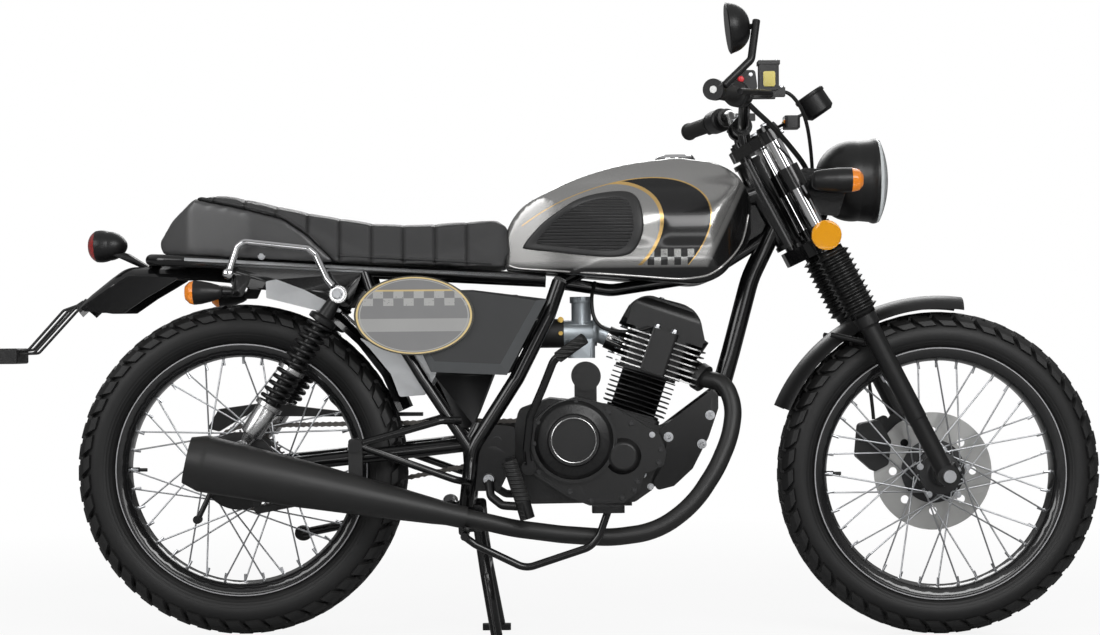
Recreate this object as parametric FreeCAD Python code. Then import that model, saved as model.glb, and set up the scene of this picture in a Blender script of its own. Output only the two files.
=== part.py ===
import FreeCAD, Part
import math
import os

# Cafe racer motorcycle on its centre stand, in millimetres: +X is forward, +Y its left side, +Z up.
# The origin is on the floor, halfway along the machine. Each function below makes one named piece.

V = FreeCAD.Vector
X, Y, Z = V(1, 0, 0), V(0, 1, 0), V(0, 0, 1)
ORIGIN = V(0, 0, 0)

# Fits
GAP = 0.3             # between faces that seat on each other
RUNNING = 0.05        # radial play of a shaft in its bore
STAND_PLAY = 0.15     # radial play of the stands on their pivots
CLEAR = 6.0           # between pieces that move past each other

# Wheels and stance
WHEELBASE = 1341.0
FRONT_AXLE_X = 748.5
FRONT_TYRE_R = 310.5
FRONT_TYRE_W = 80.0
REAR_TYRE_R = 318.0
REAR_TYRE_W = 94.0
REAR_LIFT = 11.0      # the centre stand holds the rear tyre this far off the floor
BEAD_R = 229.0
FLANGE_R = 242.0
RIM_W = 64.0
TYRE_WALL = 9.0
SPOKES = 36
SPOKE_R = 1.6
AXLE_R = 7.5

# Steering
RAKE = 27.0           # degrees from the vertical
FORK_OFFSET = 50.0    # from the steering axis forward to the fork legs
FORK_Y = 95.0         # from the centre plane to each fork leg
STANCHION_R = 15.5
SLIDER_R = STANCHION_R + 3
HEAD_LOW, HEAD_HIGH = 519.0, 704.0   # head tube ends, measured up the steering axis from the axle
HEAD_R = 25.0
BAR_R = 11.0
GRIP_R = 16.5
FOOT_HALF = 19.0      # half width of the leg's foot on the axle
LUG_Y = FORK_Y - 17   # inner face of the caliper's lug on the left slider
LAMP_ARM_Y = FORK_Y - 7
LAMP_COLLAR_T = 634.0  # the bracket's collar, up the steering axis
INDICATOR_R = 23.0
MIRROR_R = 46.0
LOOM_R, HOSE_R = 5.0, 3.5

# Frame and swingarm
PIVOT_X, PIVOT_Z = -100.0, 383.0
TUBE_R = 14.0
RAIL_R = 11.0
RAIL_Y = 88.0
RAIL_X0, RAIL_Z0 = -30.0, 690.0      # front end of the seat rails
RAIL_RISE = 0.0576
SIDE_TUBE_Y = 106.0
SWING_Y = 74.0
SWING_REAR_Y = 95.0
CROSS_Z = 683.0       # the cross tube under the tank
SHOCK_TOP = (-394.0, 662.0)
SHOCK_Y = 124.0
GRAB_Y = 126.0
AIR_BOX_X = -60.0

# Engine
CYL_X, CYL_Z = 158.6, 431.8          # foot of the cylinder axis
CYL_LEAN = 18.7                      # degrees forward
FIN_PITCH = 9.5
FIN_T = 2.6
PIPE_R = 16.5
CLUTCH_X, CLUTCH_Z = 44.0, 386.0
BARREL_H, HEAD_H = 84.0, 78.0
# ports, in the cylinder's frame
EXHAUST_IN, EXHAUST_OUT = (50.0, -10.0, 120.0), (96.0, -34.0, 108.0)
INLET_IN, INLET_OUT = (-50.0, 0.0, 120.0), (-92.0, 0.0, 124.0)
ENGINE_BOLTS = ((306.0, 427.0), (290.0, 372.0), (226.0, 386.0))
ENGINE_PLATE = ((322, 484), (322, 440), (303, 385), (272, 325), (236, 292), (204, 284), (196, 300), (214, 330),
                (222, 372), (208, 398), (222, 410))
ENGINE_PLATE_ROOM = ((330, 490), (330, 436), (240, 284), (196, 276), (188, 300), (206, 334), (212, 372),
                     (196, 400),
                     (214, 420))
MUFFLER_FRONT, MUFFLER_REAR = (-158.0, -147.0, 243.0), (-668.0, -199.0, 358.0)
OUTLET_R = 12.0

# Chain
SPROCKET_X, SPROCKET_Z = -22.0, 385.0
CHAIN_Y = 70.5
CHAIN_W = 15.0
FRONT_PITCH_R = 30.5
REAR_PITCH_R = 81.0
CHAIN_H = 11.0

# Tank
TANK_HALF = 128.0
CAP_X, CAP_Z = 246.0, 908.0

# Stands
STAND_X, STAND_Z = -138.0, 226.0
STAND_FOOT_X, STAND_FOOT_Y = -103.0, 104.0
SIDE_X, SIDE_Y, SIDE_Z = -200.0, 132.0, 250.0
SIDE_AXIS = (0.051, -0.863, -0.503)
SIDE_FOOT = (-498.0, 160.0, 190.0)

REAR_AXLE_X = FRONT_AXLE_X - WHEELBASE
FRONT_AXLE_Z = FRONT_TYRE_R
REAR_AXLE_Z = REAR_TYRE_R + REAR_LIFT
TAIL_X = REAR_AXLE_X - 165.5          # the seat frame's hoop
# the fender's flat run and tail, and its side skirt: (behind the rear axle, height)
FENDER_TAIL = ((87.5, 720), (215, 720), (245.5, 698), (284.5, 667), (311.5, 642))
FENDER_SKIRT = ((110, 698), (205, 702), (245, 680), (300, 642), (296, 637), (263.5, 632), (215.5, 632),
                (174.5, 660),
                (136.5, 682))
# degrees and radius about the axle
FENDER_FRONT = ((20, 347), (33, 351), (46, 354), (58, 360), (69, 368), (80, 381))
RAKE_SIN, RAKE_COS = math.sin(math.radians(RAKE)), math.cos(math.radians(RAKE))
# foot of the perpendicular from the front axle to the steering axis
AXIS_X = FRONT_AXLE_X - FORK_OFFSET * RAKE_COS
AXIS_Z = FRONT_AXLE_Z - FORK_OFFSET * RAKE_SIN


# ---- helpers ----

def fused(shapes):
    whole = shapes[0].fuse(shapes[1:]) if len(shapes) > 1 else shapes[0]
    return whole.removeSplitter()


def together(shapes):
    return Part.makeCompound(shapes)


def mirrored(shape):
    return shape.mirror(ORIGIN, Y)


def both_sides(shape):
    return together([shape, mirrored(shape)])


def bar(start, end, r):
    start, end = V(*start), V(*end)
    return Part.makeCylinder(r, (end - start).Length, start, end - start)


def across(x, z, y0, y1, r):
    return Part.makeCylinder(r, y1 - y0, V(x, y0, z), Y)


def washer(x, z, y0, y1, r, bore):
    return across(x, z, y0, y1, r).cut(across(x, z, y0 - 1, y1 + 1, bore))


def block(x0, x1, y0, y1, z0, z1):
    return Part.makeBox(x1 - x0, y1 - y0, z1 - z0, V(x0, y0, z0))


def path_wire(points, bend, closed=False):
    """Straight runs joined by tangent arcs of radius bend, less where a run is short."""
    pts = [V(*p) for p in points]
    if closed:
        pts = [(pts[0] + pts[-1]) * 0.5] + pts + [(pts[0] + pts[-1]) * 0.5]
    edges, start = [], pts[0]
    for before, corner, after in zip(pts, pts[1:], pts[2:]):
        back, ahead = before - corner, after - corner
        reach = 0.48 * min(back.Length, ahead.Length)
        back.normalize()
        ahead.normalize()
        turn = math.pi - back.getAngle(ahead)
        if turn < 0.002:
            continue
        cut = min(bend * math.tan(turn / 2), reach)
        radius = cut / math.tan(turn / 2)
        inward = back + ahead
        inward.normalize()
        centre = corner + inward * (radius / math.cos(turn / 2))
        first, last = corner + back * cut, corner + ahead * cut
        edges.append(Part.LineSegment(start, first).toShape())
        edges.append(Part.Arc(first, centre - inward * radius, last).toShape())
        start = last
    edges.append(Part.LineSegment(start, pts[-1]).toShape())
    return Part.Wire(edges)


def tube(points, r, bend):
    first, second = V(*points[0]), V(*points[1])
    profile = Part.Wire([Part.Circle(first, second - first, r).toShape()])
    return path_wire(points, bend).makePipeShell([profile], True, True, 0)


def plate(outline, y0, y1, bend=0.0):
    """An outline of (x, z) corners, rounded by bend, from y0 to y1."""
    corners = [(x, y0, z) for x, z in outline]
    if bend:
        wire = path_wire(corners, bend, closed=True)
    else:
        wire = Part.makePolygon([V(*c) for c in corners + corners[:1]])
    return Part.Face(wire).extrude(V(0, y1 - y0, 0))


def slab(outline, z0, z1, bend=0.0):
    """An outline of (x, y) corners, rounded by bend, from z0 to z1."""
    corners = [(x, y, z0) for x, y in outline]
    wire = path_wire(corners, bend,
                     closed=True) if bend else Part.makePolygon([V(*c) for c in corners + corners[:1]])
    return Part.Face(wire).extrude(V(0, 0, z1 - z0))


def turned(profile, origin=(0, 0, 0), axis=(0, 0, 1)):
    """A closed outline of (radius, height) corners, turned about axis through origin."""
    wire = Part.makePolygon([V(r, 0, h) for r, h in profile + profile[:1]])
    solid = Part.Face(wire).revolve(ORIGIN, Z, 360)
    if solid.Volume < 0:
        solid.reverse()
    return aimed(solid, origin, axis)


def aimed(shape, origin, axis):
    """Moves a shape that was made about +Z at the origin."""
    shape.Placement = FreeCAD.Placement(V(*origin), FreeCAD.Rotation(Z, V(*axis)))
    return shape


def placed(shape, origin, pitch):
    """Moves a shape from a local frame that is pitched by this many degrees about +Y."""
    shape = shape.copy()
    shape.Placement = FreeCAD.Placement(V(*origin), FreeCAD.Rotation(Y, pitch)).multiply(shape.Placement)
    return shape


def steered(shape):
    """From the fork's frame: +Z up the steering axis, +X square to it, the axle at (FORK_OFFSET, 0, 0)."""
    return placed(shape, (AXIS_X, 0, AXIS_Z), -RAKE)


def steer_point(u, y, t):
    return (AXIS_X + u * RAKE_COS - t * RAKE_SIN, y, AXIS_Z + u * RAKE_SIN + t * RAKE_COS)


def engine_placed(shape):
    """From the cylinder's frame: +Z up its axis, +X to its front, its foot at the origin."""
    return placed(shape, (CYL_X, 0, CYL_Z), CYL_LEAN)


def engine_point(u, y, t):
    lean = math.radians(CYL_LEAN)
    return (CYL_X + u * math.cos(lean) + t * math.sin(lean), y, CYL_Z - u * math.sin(lean) + t * math.cos(lean))


def rail_z(x):
    return RAIL_Z0 + (RAIL_X0 - x) * RAIL_RISE


def rounded_box(x0, x1, y0, y1, z0, z1, r):
    return slab([(x0, y0), (x1, y0), (x1, y1), (x0, y1)], z0, z1, r)


# ---- wheels ----

def tyre(x, z, radius, width):
    half, shoulder = width / 2, radius - 15
    wall_r = (FLANGE_R + shoulder) / 2
    seat_y, bead_y = RIM_W / 2 - 7.5, RIM_W / 2 - 5

    def side(s):
        return [V(BEAD_R, s * seat_y, 0), V(FLANGE_R + 1, s * bead_y, 0), V(wall_r, s * half, 0),
                V(shoulder, s * (half - 5), 0)]

    def inner(s):
        return [V(BEAD_R, s * (seat_y - TYRE_WALL), 0), V(FLANGE_R + 4, s * (bead_y - TYRE_WALL), 0),
                V(wall_r, s * (half - TYRE_WALL), 0), V(shoulder - TYRE_WALL, s * (half - 5 - TYRE_WALL), 0)]

    right, left, low, high = side(-1), side(1), inner(-1), inner(1)
    line, arc = Part.LineSegment, Part.Arc
    edges = [line(right[0], right[1]), arc(right[1], right[2], right[3]),
             arc(right[3], V(radius, 0, 0), left[3]),
             arc(left[3], left[2], left[1]), line(left[1], left[0]), line(left[0], high[0]),
             line(high[0], high[1]), arc(high[1], high[2], high[3]),
             arc(high[3], V(radius - 14, 0, 0), low[3]), arc(low[3], low[2], low[1]), line(low[1], low[0]),
             line(low[0], right[0])]
    solid = Part.Face(Part.Wire([e.toShape() for e in edges])).revolve(ORIGIN, Y, 360)
    solid.translate(V(x, 0, z))
    return solid


def rim(x, z):
    half = RIM_W / 2
    bed = BEAD_R - GAP
    outline = [(FLANGE_R, -half), (FLANGE_R, 4 - half), (bed, 6 - half), (bed, -13), (bed - 8, -9),
               (bed - 8, 9),
               (bed, 13), (bed, half - 6), (FLANGE_R, half - 4), (FLANGE_R, half), (FLANGE_R - 7, half),
               (bed - 4, half - 3), (bed - 12, 12), (bed - 12, -12), (bed - 4, 3 - half), (FLANGE_R - 7, -half)]
    return turned(outline, (x, 0, z), (0, 1, 0))


def spokes(x, z, flange_r, flange_y):
    """Laced so that the spokes of one flange lean both ways and pass each other by their offsets."""
    start_r, end_r = flange_r + SPOKE_R + GAP, BEAD_R - 12 - 2 * GAP - SPOKE_R * 0.2
    lean = math.radians(58)
    made = []
    for i in range(SPOKES):
        side = 1 if i % 2 else -1
        ahead = 1 if (i // 2) % 2 else -1
        rim_angle = 2 * math.pi * i / SPOKES
        hub_angle = rim_angle + ahead * lean
        hub_y, rim_y = side * (flange_y + ahead * 3), side * (5 + ahead * 3)
        start = (x + start_r * math.cos(hub_angle), hub_y, z + start_r * math.sin(hub_angle))
        end = (x + end_r * math.cos(rim_angle), rim_y, z + end_r * math.sin(rim_angle))
        made.append(bar(start, end, SPOKE_R))
    return made


def laced_rim(x, z, flange_r, flange_y):
    return together([rim(x, z)] + spokes(x, z, flange_r, flange_y))


HUB_FLANGE_R, HUB_FLANGE_Y = 40.0, 28.0
DISC_Y, DISC_T, DISC_R, DISC_IN_R = 50.0, 4.5, 115.0, 58.0
FRONT_HUB_Y = 62.0


def front_hub():
    outline = [(AXLE_R + RUNNING, -FRONT_HUB_Y), (20, -FRONT_HUB_Y), (22, -44), (26, -36),
               (HUB_FLANGE_R - 6, -HUB_FLANGE_Y - 6), (HUB_FLANGE_R, -HUB_FLANGE_Y - 5),
               (HUB_FLANGE_R, -HUB_FLANGE_Y + 4), (24, -18), (24, 18), (HUB_FLANGE_R, HUB_FLANGE_Y - 4),
               (HUB_FLANGE_R, HUB_FLANGE_Y + 5), (34, DISC_Y - 8), (62, DISC_Y - 4),
               (62, DISC_Y - GAP), (DISC_IN_R - 26, DISC_Y - GAP), (30, DISC_Y + 8), (20, FRONT_HUB_Y),
               (AXLE_R + RUNNING, FRONT_HUB_Y)]
    return turned(outline, (FRONT_AXLE_X, 0, FRONT_AXLE_Z), (0, 1, 0))


def brake_disc():
    disc = washer(FRONT_AXLE_X, FRONT_AXLE_Z, DISC_Y, DISC_Y + DISC_T, DISC_R, 34)
    holes = []
    for i in range(8):
        angle = 2 * math.pi * i / 8
        holes.append(across(FRONT_AXLE_X + 78 * math.cos(angle), FRONT_AXLE_Z + 78 * math.sin(angle),
                            DISC_Y - 1, DISC_Y + DISC_T + 1, 8))
    return disc.cut(together(holes))


DRUM_R, DRUM_Y = 74.0, 40.0
REAR_HUB_Y = 66.0


def rear_hub():
    """A drum open to the right, where the fixed brake plate closes it."""
    flange = 70.0
    outline = [(AXLE_R + RUNNING, -30), (40, -30), (58, -26), (58, -DRUM_Y - 14), (flange, -DRUM_Y - 14),
               (flange, -HUB_FLANGE_Y + 4), (64, 0), (flange, HUB_FLANGE_Y - 4), (flange, HUB_FLANGE_Y + 6),
               (44, 46), (44, CHAIN_Y - 4 - GAP), (20, CHAIN_Y - 4 - GAP), (20, 72), (AXLE_R + RUNNING, 72)]
    return turned(outline, (REAR_AXLE_X, 0, REAR_AXLE_Z), (0, 1, 0))


def toothed(x, z, y0, y1, pitch_r, teeth, bore):
    """A sprocket whose gullets seat the chain's rollers."""
    body = washer(x, z, y0, y1, pitch_r + 2, bore)
    rollers = []
    for i in range(teeth):
        angle = 2 * math.pi * i / teeth
        rollers.append(across(x + pitch_r * math.cos(angle), z + pitch_r * math.sin(angle), y0 - 1, y1 + 1,
                              4.4))
    return body.cut(together(rollers))


def rear_sprocket():
    sprocket = toothed(REAR_AXLE_X, REAR_AXLE_Z, CHAIN_Y - 4, CHAIN_Y + 3, REAR_PITCH_R - 8, 40, 20 + GAP)
    holes = [across(REAR_AXLE_X + 54 * math.cos(a), REAR_AXLE_Z + 54 * math.sin(a), CHAIN_Y - 5, CHAIN_Y + 4, 9)
             for a in (0.3 + 2 * math.pi * i / 6 for i in range(6))]
    return sprocket.cut(together(holes))


def front_axle():
    face = FORK_Y + FOOT_HALF
    return fused([across(FRONT_AXLE_X, FRONT_AXLE_Z, -face - 4, face + 4, AXLE_R),
                  across(FRONT_AXLE_X, FRONT_AXLE_Z, -face - 12, -face - GAP, 12),
                  across(FRONT_AXLE_X, FRONT_AXLE_Z, face + GAP, face + 12, 12)])


def rear_axle():
    face = SWING_REAR_Y + 13 + GAP
    return fused([across(REAR_AXLE_X, REAR_AXLE_Z, -face - 13, face + 13, AXLE_R),
                  across(REAR_AXLE_X, REAR_AXLE_Z, -face - 13, -face, 13),
                  across(REAR_AXLE_X, REAR_AXLE_Z, face, face + 13, 13)])


# ---- steering ----

YOKE_LOW0, YOKE_LOW1 = 484.0, 512.0
YOKE_TOP0, YOKE_TOP1 = 711.0, 732.0
GAITER_LOW, GAITER_TOP = 341.0, 482.0
GAITER_R = 34.0
CLAMP_R = 25.0


def yoke(t0, t1, clamp_up, clamp_r):
    """A bridge between two split clamps, with the steering stem's boss behind it."""
    outline = [(-22, -24), (-22, 24), (10, FORK_Y - 14), (30, FORK_Y + 4), (66, FORK_Y + 4), (66, FORK_Y - 24),
               (30, 30), (30, -30), (66, 24 - FORK_Y), (66, -FORK_Y - 4), (30, -FORK_Y - 4), (10, 14 - FORK_Y)]
    body = slab(outline, t0, t1, 9)
    ears = [Part.makeCylinder(clamp_r, t1 - t0 + clamp_up, V(FORK_OFFSET, s * FORK_Y, t0))
            for s in (-1, 1)]
    bores = [Part.makeCylinder(STANCHION_R + GAP, t1 - t0 + 80, V(FORK_OFFSET, s * FORK_Y, t0 - 30))
             for s in (-1, 1)]
    return fused([body] + ears).cut(together(bores))


def fork_yokes():
    """Both yokes on the stem, and the risers and clamps that hold the handlebar."""
    stem = Part.makeCylinder(12, YOKE_TOP1 - YOKE_LOW0 + 12, V(0, 0, YOKE_LOW0))
    nut = Part.makeCylinder(17, 8, V(0, 0, YOKE_TOP1))
    collars = [Part.makeCone(CLAMP_R - 3, STANCHION_R + 3, 12, V(FORK_OFFSET, s * FORK_Y, YOKE_TOP1)).cut(
        Part.makeCylinder(STANCHION_R + GAP, 40, V(FORK_OFFSET, s * FORK_Y, YOKE_TOP1 - 10))) for s in (-1, 1)]
    body = steered(fused([yoke(YOKE_LOW0, YOKE_LOW1, 22, CLAMP_R), yoke(YOKE_TOP0, YOKE_TOP1, 0, CLAMP_R - 3),
                          stem, nut]
                         + collars))
    clamps = []
    for s in (-1, 1):
        clamps.append(bar(steer_point(8, s * 40, YOKE_TOP1 - 4), (BAR_X, s * 40, BAR_Z), 12))
        clamps.append(across(BAR_X, BAR_Z, s * 40 - 12, s * 40 + 12, BAR_R + 8))
    return fused([body] + clamps).cut(across(BAR_X, BAR_Z, -74, 74, BAR_R + GAP))


def fork_stanchions():
    low = GAITER_LOW - 60
    one = Part.makeCylinder(STANCHION_R, YOKE_TOP1 + 6 - low, V(FORK_OFFSET, FORK_Y, low))
    cap = Part.makeCylinder(12, 6, V(FORK_OFFSET, FORK_Y, YOKE_TOP1 + 6))
    return both_sides(steered(fused([one, cap])))


def fork_gaiters():
    """Bellows between the slider's collar and the lower yoke, open round the stanchion."""
    ridges = 11
    pitch = (GAITER_TOP - GAITER_LOW - 16) / ridges
    bore = STANCHION_R + GAP
    outer = [(SLIDER_R + 6, GAITER_LOW), (SLIDER_R + 6, GAITER_LOW + 8)]
    for i in range(ridges):
        low = GAITER_LOW + 8 + i * pitch
        outer += [(GAITER_R - 7, low + 0.1 * pitch), (GAITER_R, low + 0.5 * pitch),
                  (GAITER_R - 7, low + 0.9 * pitch)]
    outer += [(SLIDER_R + 6, GAITER_TOP - 8), (SLIDER_R + 6, GAITER_TOP)]
    outline = [(bore, GAITER_LOW)] + outer + [(bore, GAITER_TOP)]
    one = turned(outline, (FORK_OFFSET, FORK_Y, 0))
    return both_sides(steered(one))


def fork_sliders():
    """Lower legs; the left one has the lug that carries the brake caliper."""
    axle_hole = bar((FORK_OFFSET, FORK_Y - 35, 0), (FORK_OFFSET, FORK_Y + 35, 0), AXLE_R + RUNNING)
    profile = [(0, 4), (SLIDER_R - 1, 4), (SLIDER_R - 1, 120), (SLIDER_R, 124), (SLIDER_R, GAITER_LOW - 26),
               (SLIDER_R + 4, GAITER_LOW - 20), (SLIDER_R + 4, GAITER_LOW - GAP), (0, GAITER_LOW - GAP)]
    leg = turned(profile, (FORK_OFFSET, FORK_Y, 0))
    foot = bar((FORK_OFFSET, FORK_Y - FOOT_HALF, 0), (FORK_OFFSET, FORK_Y + FOOT_HALF, 0), 20)
    clamp = slab([(FORK_OFFSET - 14, FORK_Y - 12), (FORK_OFFSET + 24, FORK_Y - 12),
                  (FORK_OFFSET + 24, FORK_Y + 12),
                  (FORK_OFFSET - 14, FORK_Y + 12)], -16, 16, 6)
    bore = Part.makeCylinder(STANCHION_R + GAP, GAITER_LOW, V(FORK_OFFSET, FORK_Y, GAITER_LOW - 75))
    leg = fused([leg, foot, clamp]).cut(together([axle_hole, bore]))
    lug = plate([(FORK_OFFSET - 8, 34), (2, 62), (2, 118), (FORK_OFFSET - 8, 136)], LUG_Y, LUG_Y + 12, 6)
    left = fused([leg, lug.cut(Part.makeCylinder(SLIDER_R - 4, 200, V(FORK_OFFSET, FORK_Y, 0)))])
    return together([steered(left), mirrored(steered(leg))])


LAMP_X, LAMP_Z, LAMP_R, LAMP_DEEP = 614.0, 875.0, 81.0, 97.0


def headlight():
    """Bucket, rim and domed lens, with an ear at each side that runs out to the bracket."""
    bowl = [((12, -LAMP_DEEP),), ((56, -LAMP_DEEP * 0.8), (LAMP_R - 4, -16)), ((LAMP_R - 2, 6),),
            ((LAMP_R, 10),),
            ((LAMP_R + 1, 17), (LAMP_R - 2, 24)), ((44, 36), (10, 40)), ((0, 40),), ((0, -LAMP_DEEP),)]
    shell = turned_curves(bowl, (LAMP_X, 0, LAMP_Z), (1, 0, 0))
    ears = [bar((LAMP_X - 40, s * 60, LAMP_Z), (LAMP_X - 40, s * LAMP_ARM_Y, LAMP_Z), 9) for s in (-1, 1)]
    return fused([shell] + ears)


def lamp_brackets():
    """Collars on the stanchions carry a strip to the lower yoke and a flat arm to each side of the lamp."""
    collar = Part.makeCylinder(STANCHION_R + 6, 44, V(FORK_OFFSET, FORK_Y, LAMP_COLLAR_T - 22))
    room = Part.makeCylinder(STANCHION_R + GAP, 200, V(FORK_OFFSET, FORK_Y, LAMP_COLLAR_T - 110))
    arm = plate([(478, 895), (484, 852), (510, 806), (548, 802), (562, 846), (LAMP_X - 28, 850),
                 (LAMP_X - 22, 884)],
                LAMP_ARM_Y + GAP, LAMP_ARM_Y + 5, 6)
    corners = [steer_point(FORK_OFFSET + u, 0, t) for u, t in ((16, 640), (34, 640), (34, 548), (16, 548))]
    strip = plate([(x, z) for x, _, z in corners], LAMP_ARM_Y + GAP, LAMP_ARM_Y + 5, 4)
    return both_sides(fused([steered(collar), arm, strip]).cut(steered(room)))


def front_indicators():
    """A stalk from the lamp bracket, a tapered body lying forward and its domed lens."""
    start = LAMP_ARM_Y + 5 + GAP
    stalk = bar((540, start, 866), (540, start + 36, 866), 6)
    shell = [(0, -50), (12, -49), (17, -44), (20, -30), (INDICATOR_R, 0), (INDICATOR_R, 24), (20, 38),
             (12, 45), (0, 47)]
    return both_sides(fused([stalk, turned(shell, (541, start + 56, 866), (1, 0, 0))]))


def fork_reflectors():
    t, r = 512.0, 28.0
    x, _, z = steer_point(FORK_OFFSET - 4, 0, t)
    disc = across(x + 8, z, FORK_Y + CLAMP_R + GAP, FORK_Y + CLAMP_R + 11, r)
    return both_sides(disc)


GAUGE_TILT = 34.0


def gauge():
    """The clock's can, the box of warning lamps and the flat stay that runs back to the top yoke."""
    x, z, r = 516.7, 1026.0, 30.0
    axis = (-math.sin(math.radians(GAUGE_TILT)), 0, math.cos(math.radians(GAUGE_TILT)))
    body = turned([(0, -25), (22, -25), (r - 1, -19), (r - 1, 13), (r + 1, 14), (r + 1, 20), (r - 1, 22),
                   (r - 4, 20),
                   (0, 20)], (x, 0, z), axis)
    stay = steered(block(30, 152, -12, 12, YOKE_TOP1 + GAP, YOKE_TOP1 + GAP + 5))
    lamps = rounded_box(457, 486, -26, 26, 978, 1001, 6)
    return fused([body, stay, lamps])


BAR_X, BAR_Z = 372.0, 978.0           # the handlebar's clamped middle
GRIP_IN = (350.0, 225.0, 1018.0)
GRIP_OUT = (297.0, 360.0, 1010.0)


def bar_points(sign):
    return [(BAR_X, 0, BAR_Z), (BAR_X, sign * 75, BAR_Z), (BAR_X - 4, sign * 150, GRIP_IN[2] + 4),
            (GRIP_IN[0], sign * GRIP_IN[1], GRIP_IN[2]), (GRIP_OUT[0], sign * GRIP_OUT[1], GRIP_OUT[2])]


def handlebar():
    """One bent tube; its left end is open for a bar end mirror."""
    halves = [tube(bar_points(s), BAR_R, 45) for s in (-1, 1)]
    bore = bar(GRIP_OUT, (GRIP_OUT[0] - (GRIP_OUT[0] - GRIP_IN[0]) * 0.4,
                          GRIP_OUT[1] - (GRIP_OUT[1] - GRIP_IN[1]) * 0.4,
                          GRIP_OUT[2] - (GRIP_OUT[2] - GRIP_IN[2]) * 0.4), 9)
    return fused(halves).cut(bore)


def grip_axis(sign, share):
    """A point on the grip's own line: 0 at its inner end, 1 at the bar's end."""
    a, b = GRIP_IN, GRIP_OUT
    return (a[0] + (b[0] - a[0]) * share, sign * (a[1] + (b[1] - a[1]) * share), a[2] + (b[2] - a[2]) * share)


def hand_grips():
    made = []
    for s in (-1, 1):
        start, end = V(*grip_axis(s, 0.18)), V(*grip_axis(s, 0.99))
        axis = end - start
        length = axis.Length
        grip = turned([(BAR_R + GAP, 0), (GRIP_R + 6, 0), (GRIP_R + 6, 4), (GRIP_R, 6), (GRIP_R, length - 6),
                       (GRIP_R + 2, length - 4), (GRIP_R + 2, length), (BAR_R + GAP, length)], start, axis)
        made.append(grip)
    return together(made)


def switch_housings():
    """A round housing on each side of the bar, and the boxed switches on the right one."""
    made = []
    for s in (-1, 1):
        start, end = V(*grip_axis(s, -0.12)), V(*grip_axis(s, 0.16))
        axis = end - start
        body = turned([(0, 0), (20, 0), (24, 4), (24, axis.Length - 4), (20, axis.Length), (0, axis.Length)],
                      start, axis)
        if s < 0:
            body = fused([body, plate([(338, 1010), (330, 1040), (344, 1060), (378, 1060), (382, 1030),
                                       (374, 1008)],
                                      -243, -209, 6)])
        made.append(body.cut(tube(bar_points(s), BAR_R + GAP, 45)))
    return together(made)


def hand_levers():
    """Clamp, pivot block and blade on each side, and the fluid reservoir on the right."""
    made = []
    for s in (-1, 1):
        y = s * 186
        x, z = 362.0, 1020.0
        clamp = across(x, z, y - 9, y + 9, 18)
        arm = block(x + 12, x + 58, y - 8, y + 8, z - 6, z + 8)
        blade = tube([(x + 50, y, z + 1), (x + 46, y + s * 30, z + 1), (x + 12, y + s * 90, z - 4),
                      (x - 22, y + s * 168, z - 12)], 5.5, 30)
        parts = [clamp, arm, blade]
        if s < 0:
            parts.append(plate([(x + 28, z + 4), (x + 28, z + 58), (x + 64, z + 58), (x + 64, z + 10)], y - 15,
                               y + 15, 4))
            parts.append(block(x + 26, x + 66, y - 17, y + 17, z + 56, z + 63))
            parts.append(block(x + 30, x + 76, y - 10, y + 10, z - 2, z + 14))
        made.append(fused(parts).cut(tube(bar_points(s), BAR_R + GAP, 45)))
    return together(made)


def mirror():
    """One round mirror on a cranked stem from the right end of the bar."""
    end = V(*grip_axis(-1, 1.0))
    ring = bar(grip_axis(-1, 1.005), grip_axis(-1, 1.12),
               19).cut(bar(grip_axis(-1, 1.04), grip_axis(-1, 1.2), 7))
    stem = tube([end + V(14, -15, 6), end + V(62, -6, 52), end + V(74, 18, 124)], 7, 16)
    stub = bar(end + V(73, 15, 114), end + V(50, 28, 114), 5)
    shell = [((24, -24), (44, 4)), ((MIRROR_R, 10),), ((MIRROR_R - 4, 12),), ((0, 12),), ((0, -28),)]
    return fused([ring, stem, stub, turned_curves(shell, end + V(35, 30, 114), (-1, 0, -0.12))])


FENDER_R = 342.0
FENDER_HALF = 52.0


def fender_section(r, half, wall, crown):
    """An arched band, square to the wheel: r is the radius at its crown."""
    out = [V(r - crown, -half, 0), V(r, 0, 0), V(r - crown, half, 0)]
    inner = [V(r - crown, half - wall, 0), V(r - wall, 0, 0), V(r - crown, wall - half, 0)]
    edges = [Part.Arc(*out), Part.LineSegment(out[2], inner[0]), Part.Arc(*inner),
             Part.LineSegment(inner[2], out[0])]
    return Part.Face(Part.Wire([e.toShape() for e in edges]))


def fender_band(x, z, r, half, wall, crown, from_deg, to_deg):
    """Angles run from +X over the top of the wheel towards the back."""
    face = fender_section(r, half, wall, crown)
    face.rotate(ORIGIN, Y, -from_deg)
    band = face.revolve(ORIGIN, Y, -(to_deg - from_deg))
    if band.Volume < 0:
        band.reverse()
    band.translate(V(x, 0, z))
    return band


def front_fender():
    band = fender_band(FRONT_AXLE_X, FRONT_AXLE_Z, FENDER_R, FENDER_HALF, 3, 26, 82, 157)
    stays = []
    for s in (-1, 1):
        inner_y = FORK_Y - SLIDER_R - GAP
        at = [steer_point(FORK_OFFSET + u, 0, t) for u, t in ((-16, 300), (16, 300), (16, 268), (-16, 268))]
        pad = plate([(p[0], p[2]) for p in at], *sorted((s * inner_y, s * (inner_y - 5))), 4)
        rear = bar((at[0][0], s * (inner_y - 4), at[0][2] - 6),
                   (at[0][0] - 60, s * (FENDER_HALF - 1), at[0][2] + 8), 5)
        fore = bar((at[1][0] - 8, s * (inner_y - 4), at[1][2] - 12),
                   (at[1][0] - 12, s * (FENDER_HALF - 2), at[1][2] + 22), 5)
        stays += [pad, rear, fore]
    return fused([band] + stays)


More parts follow.
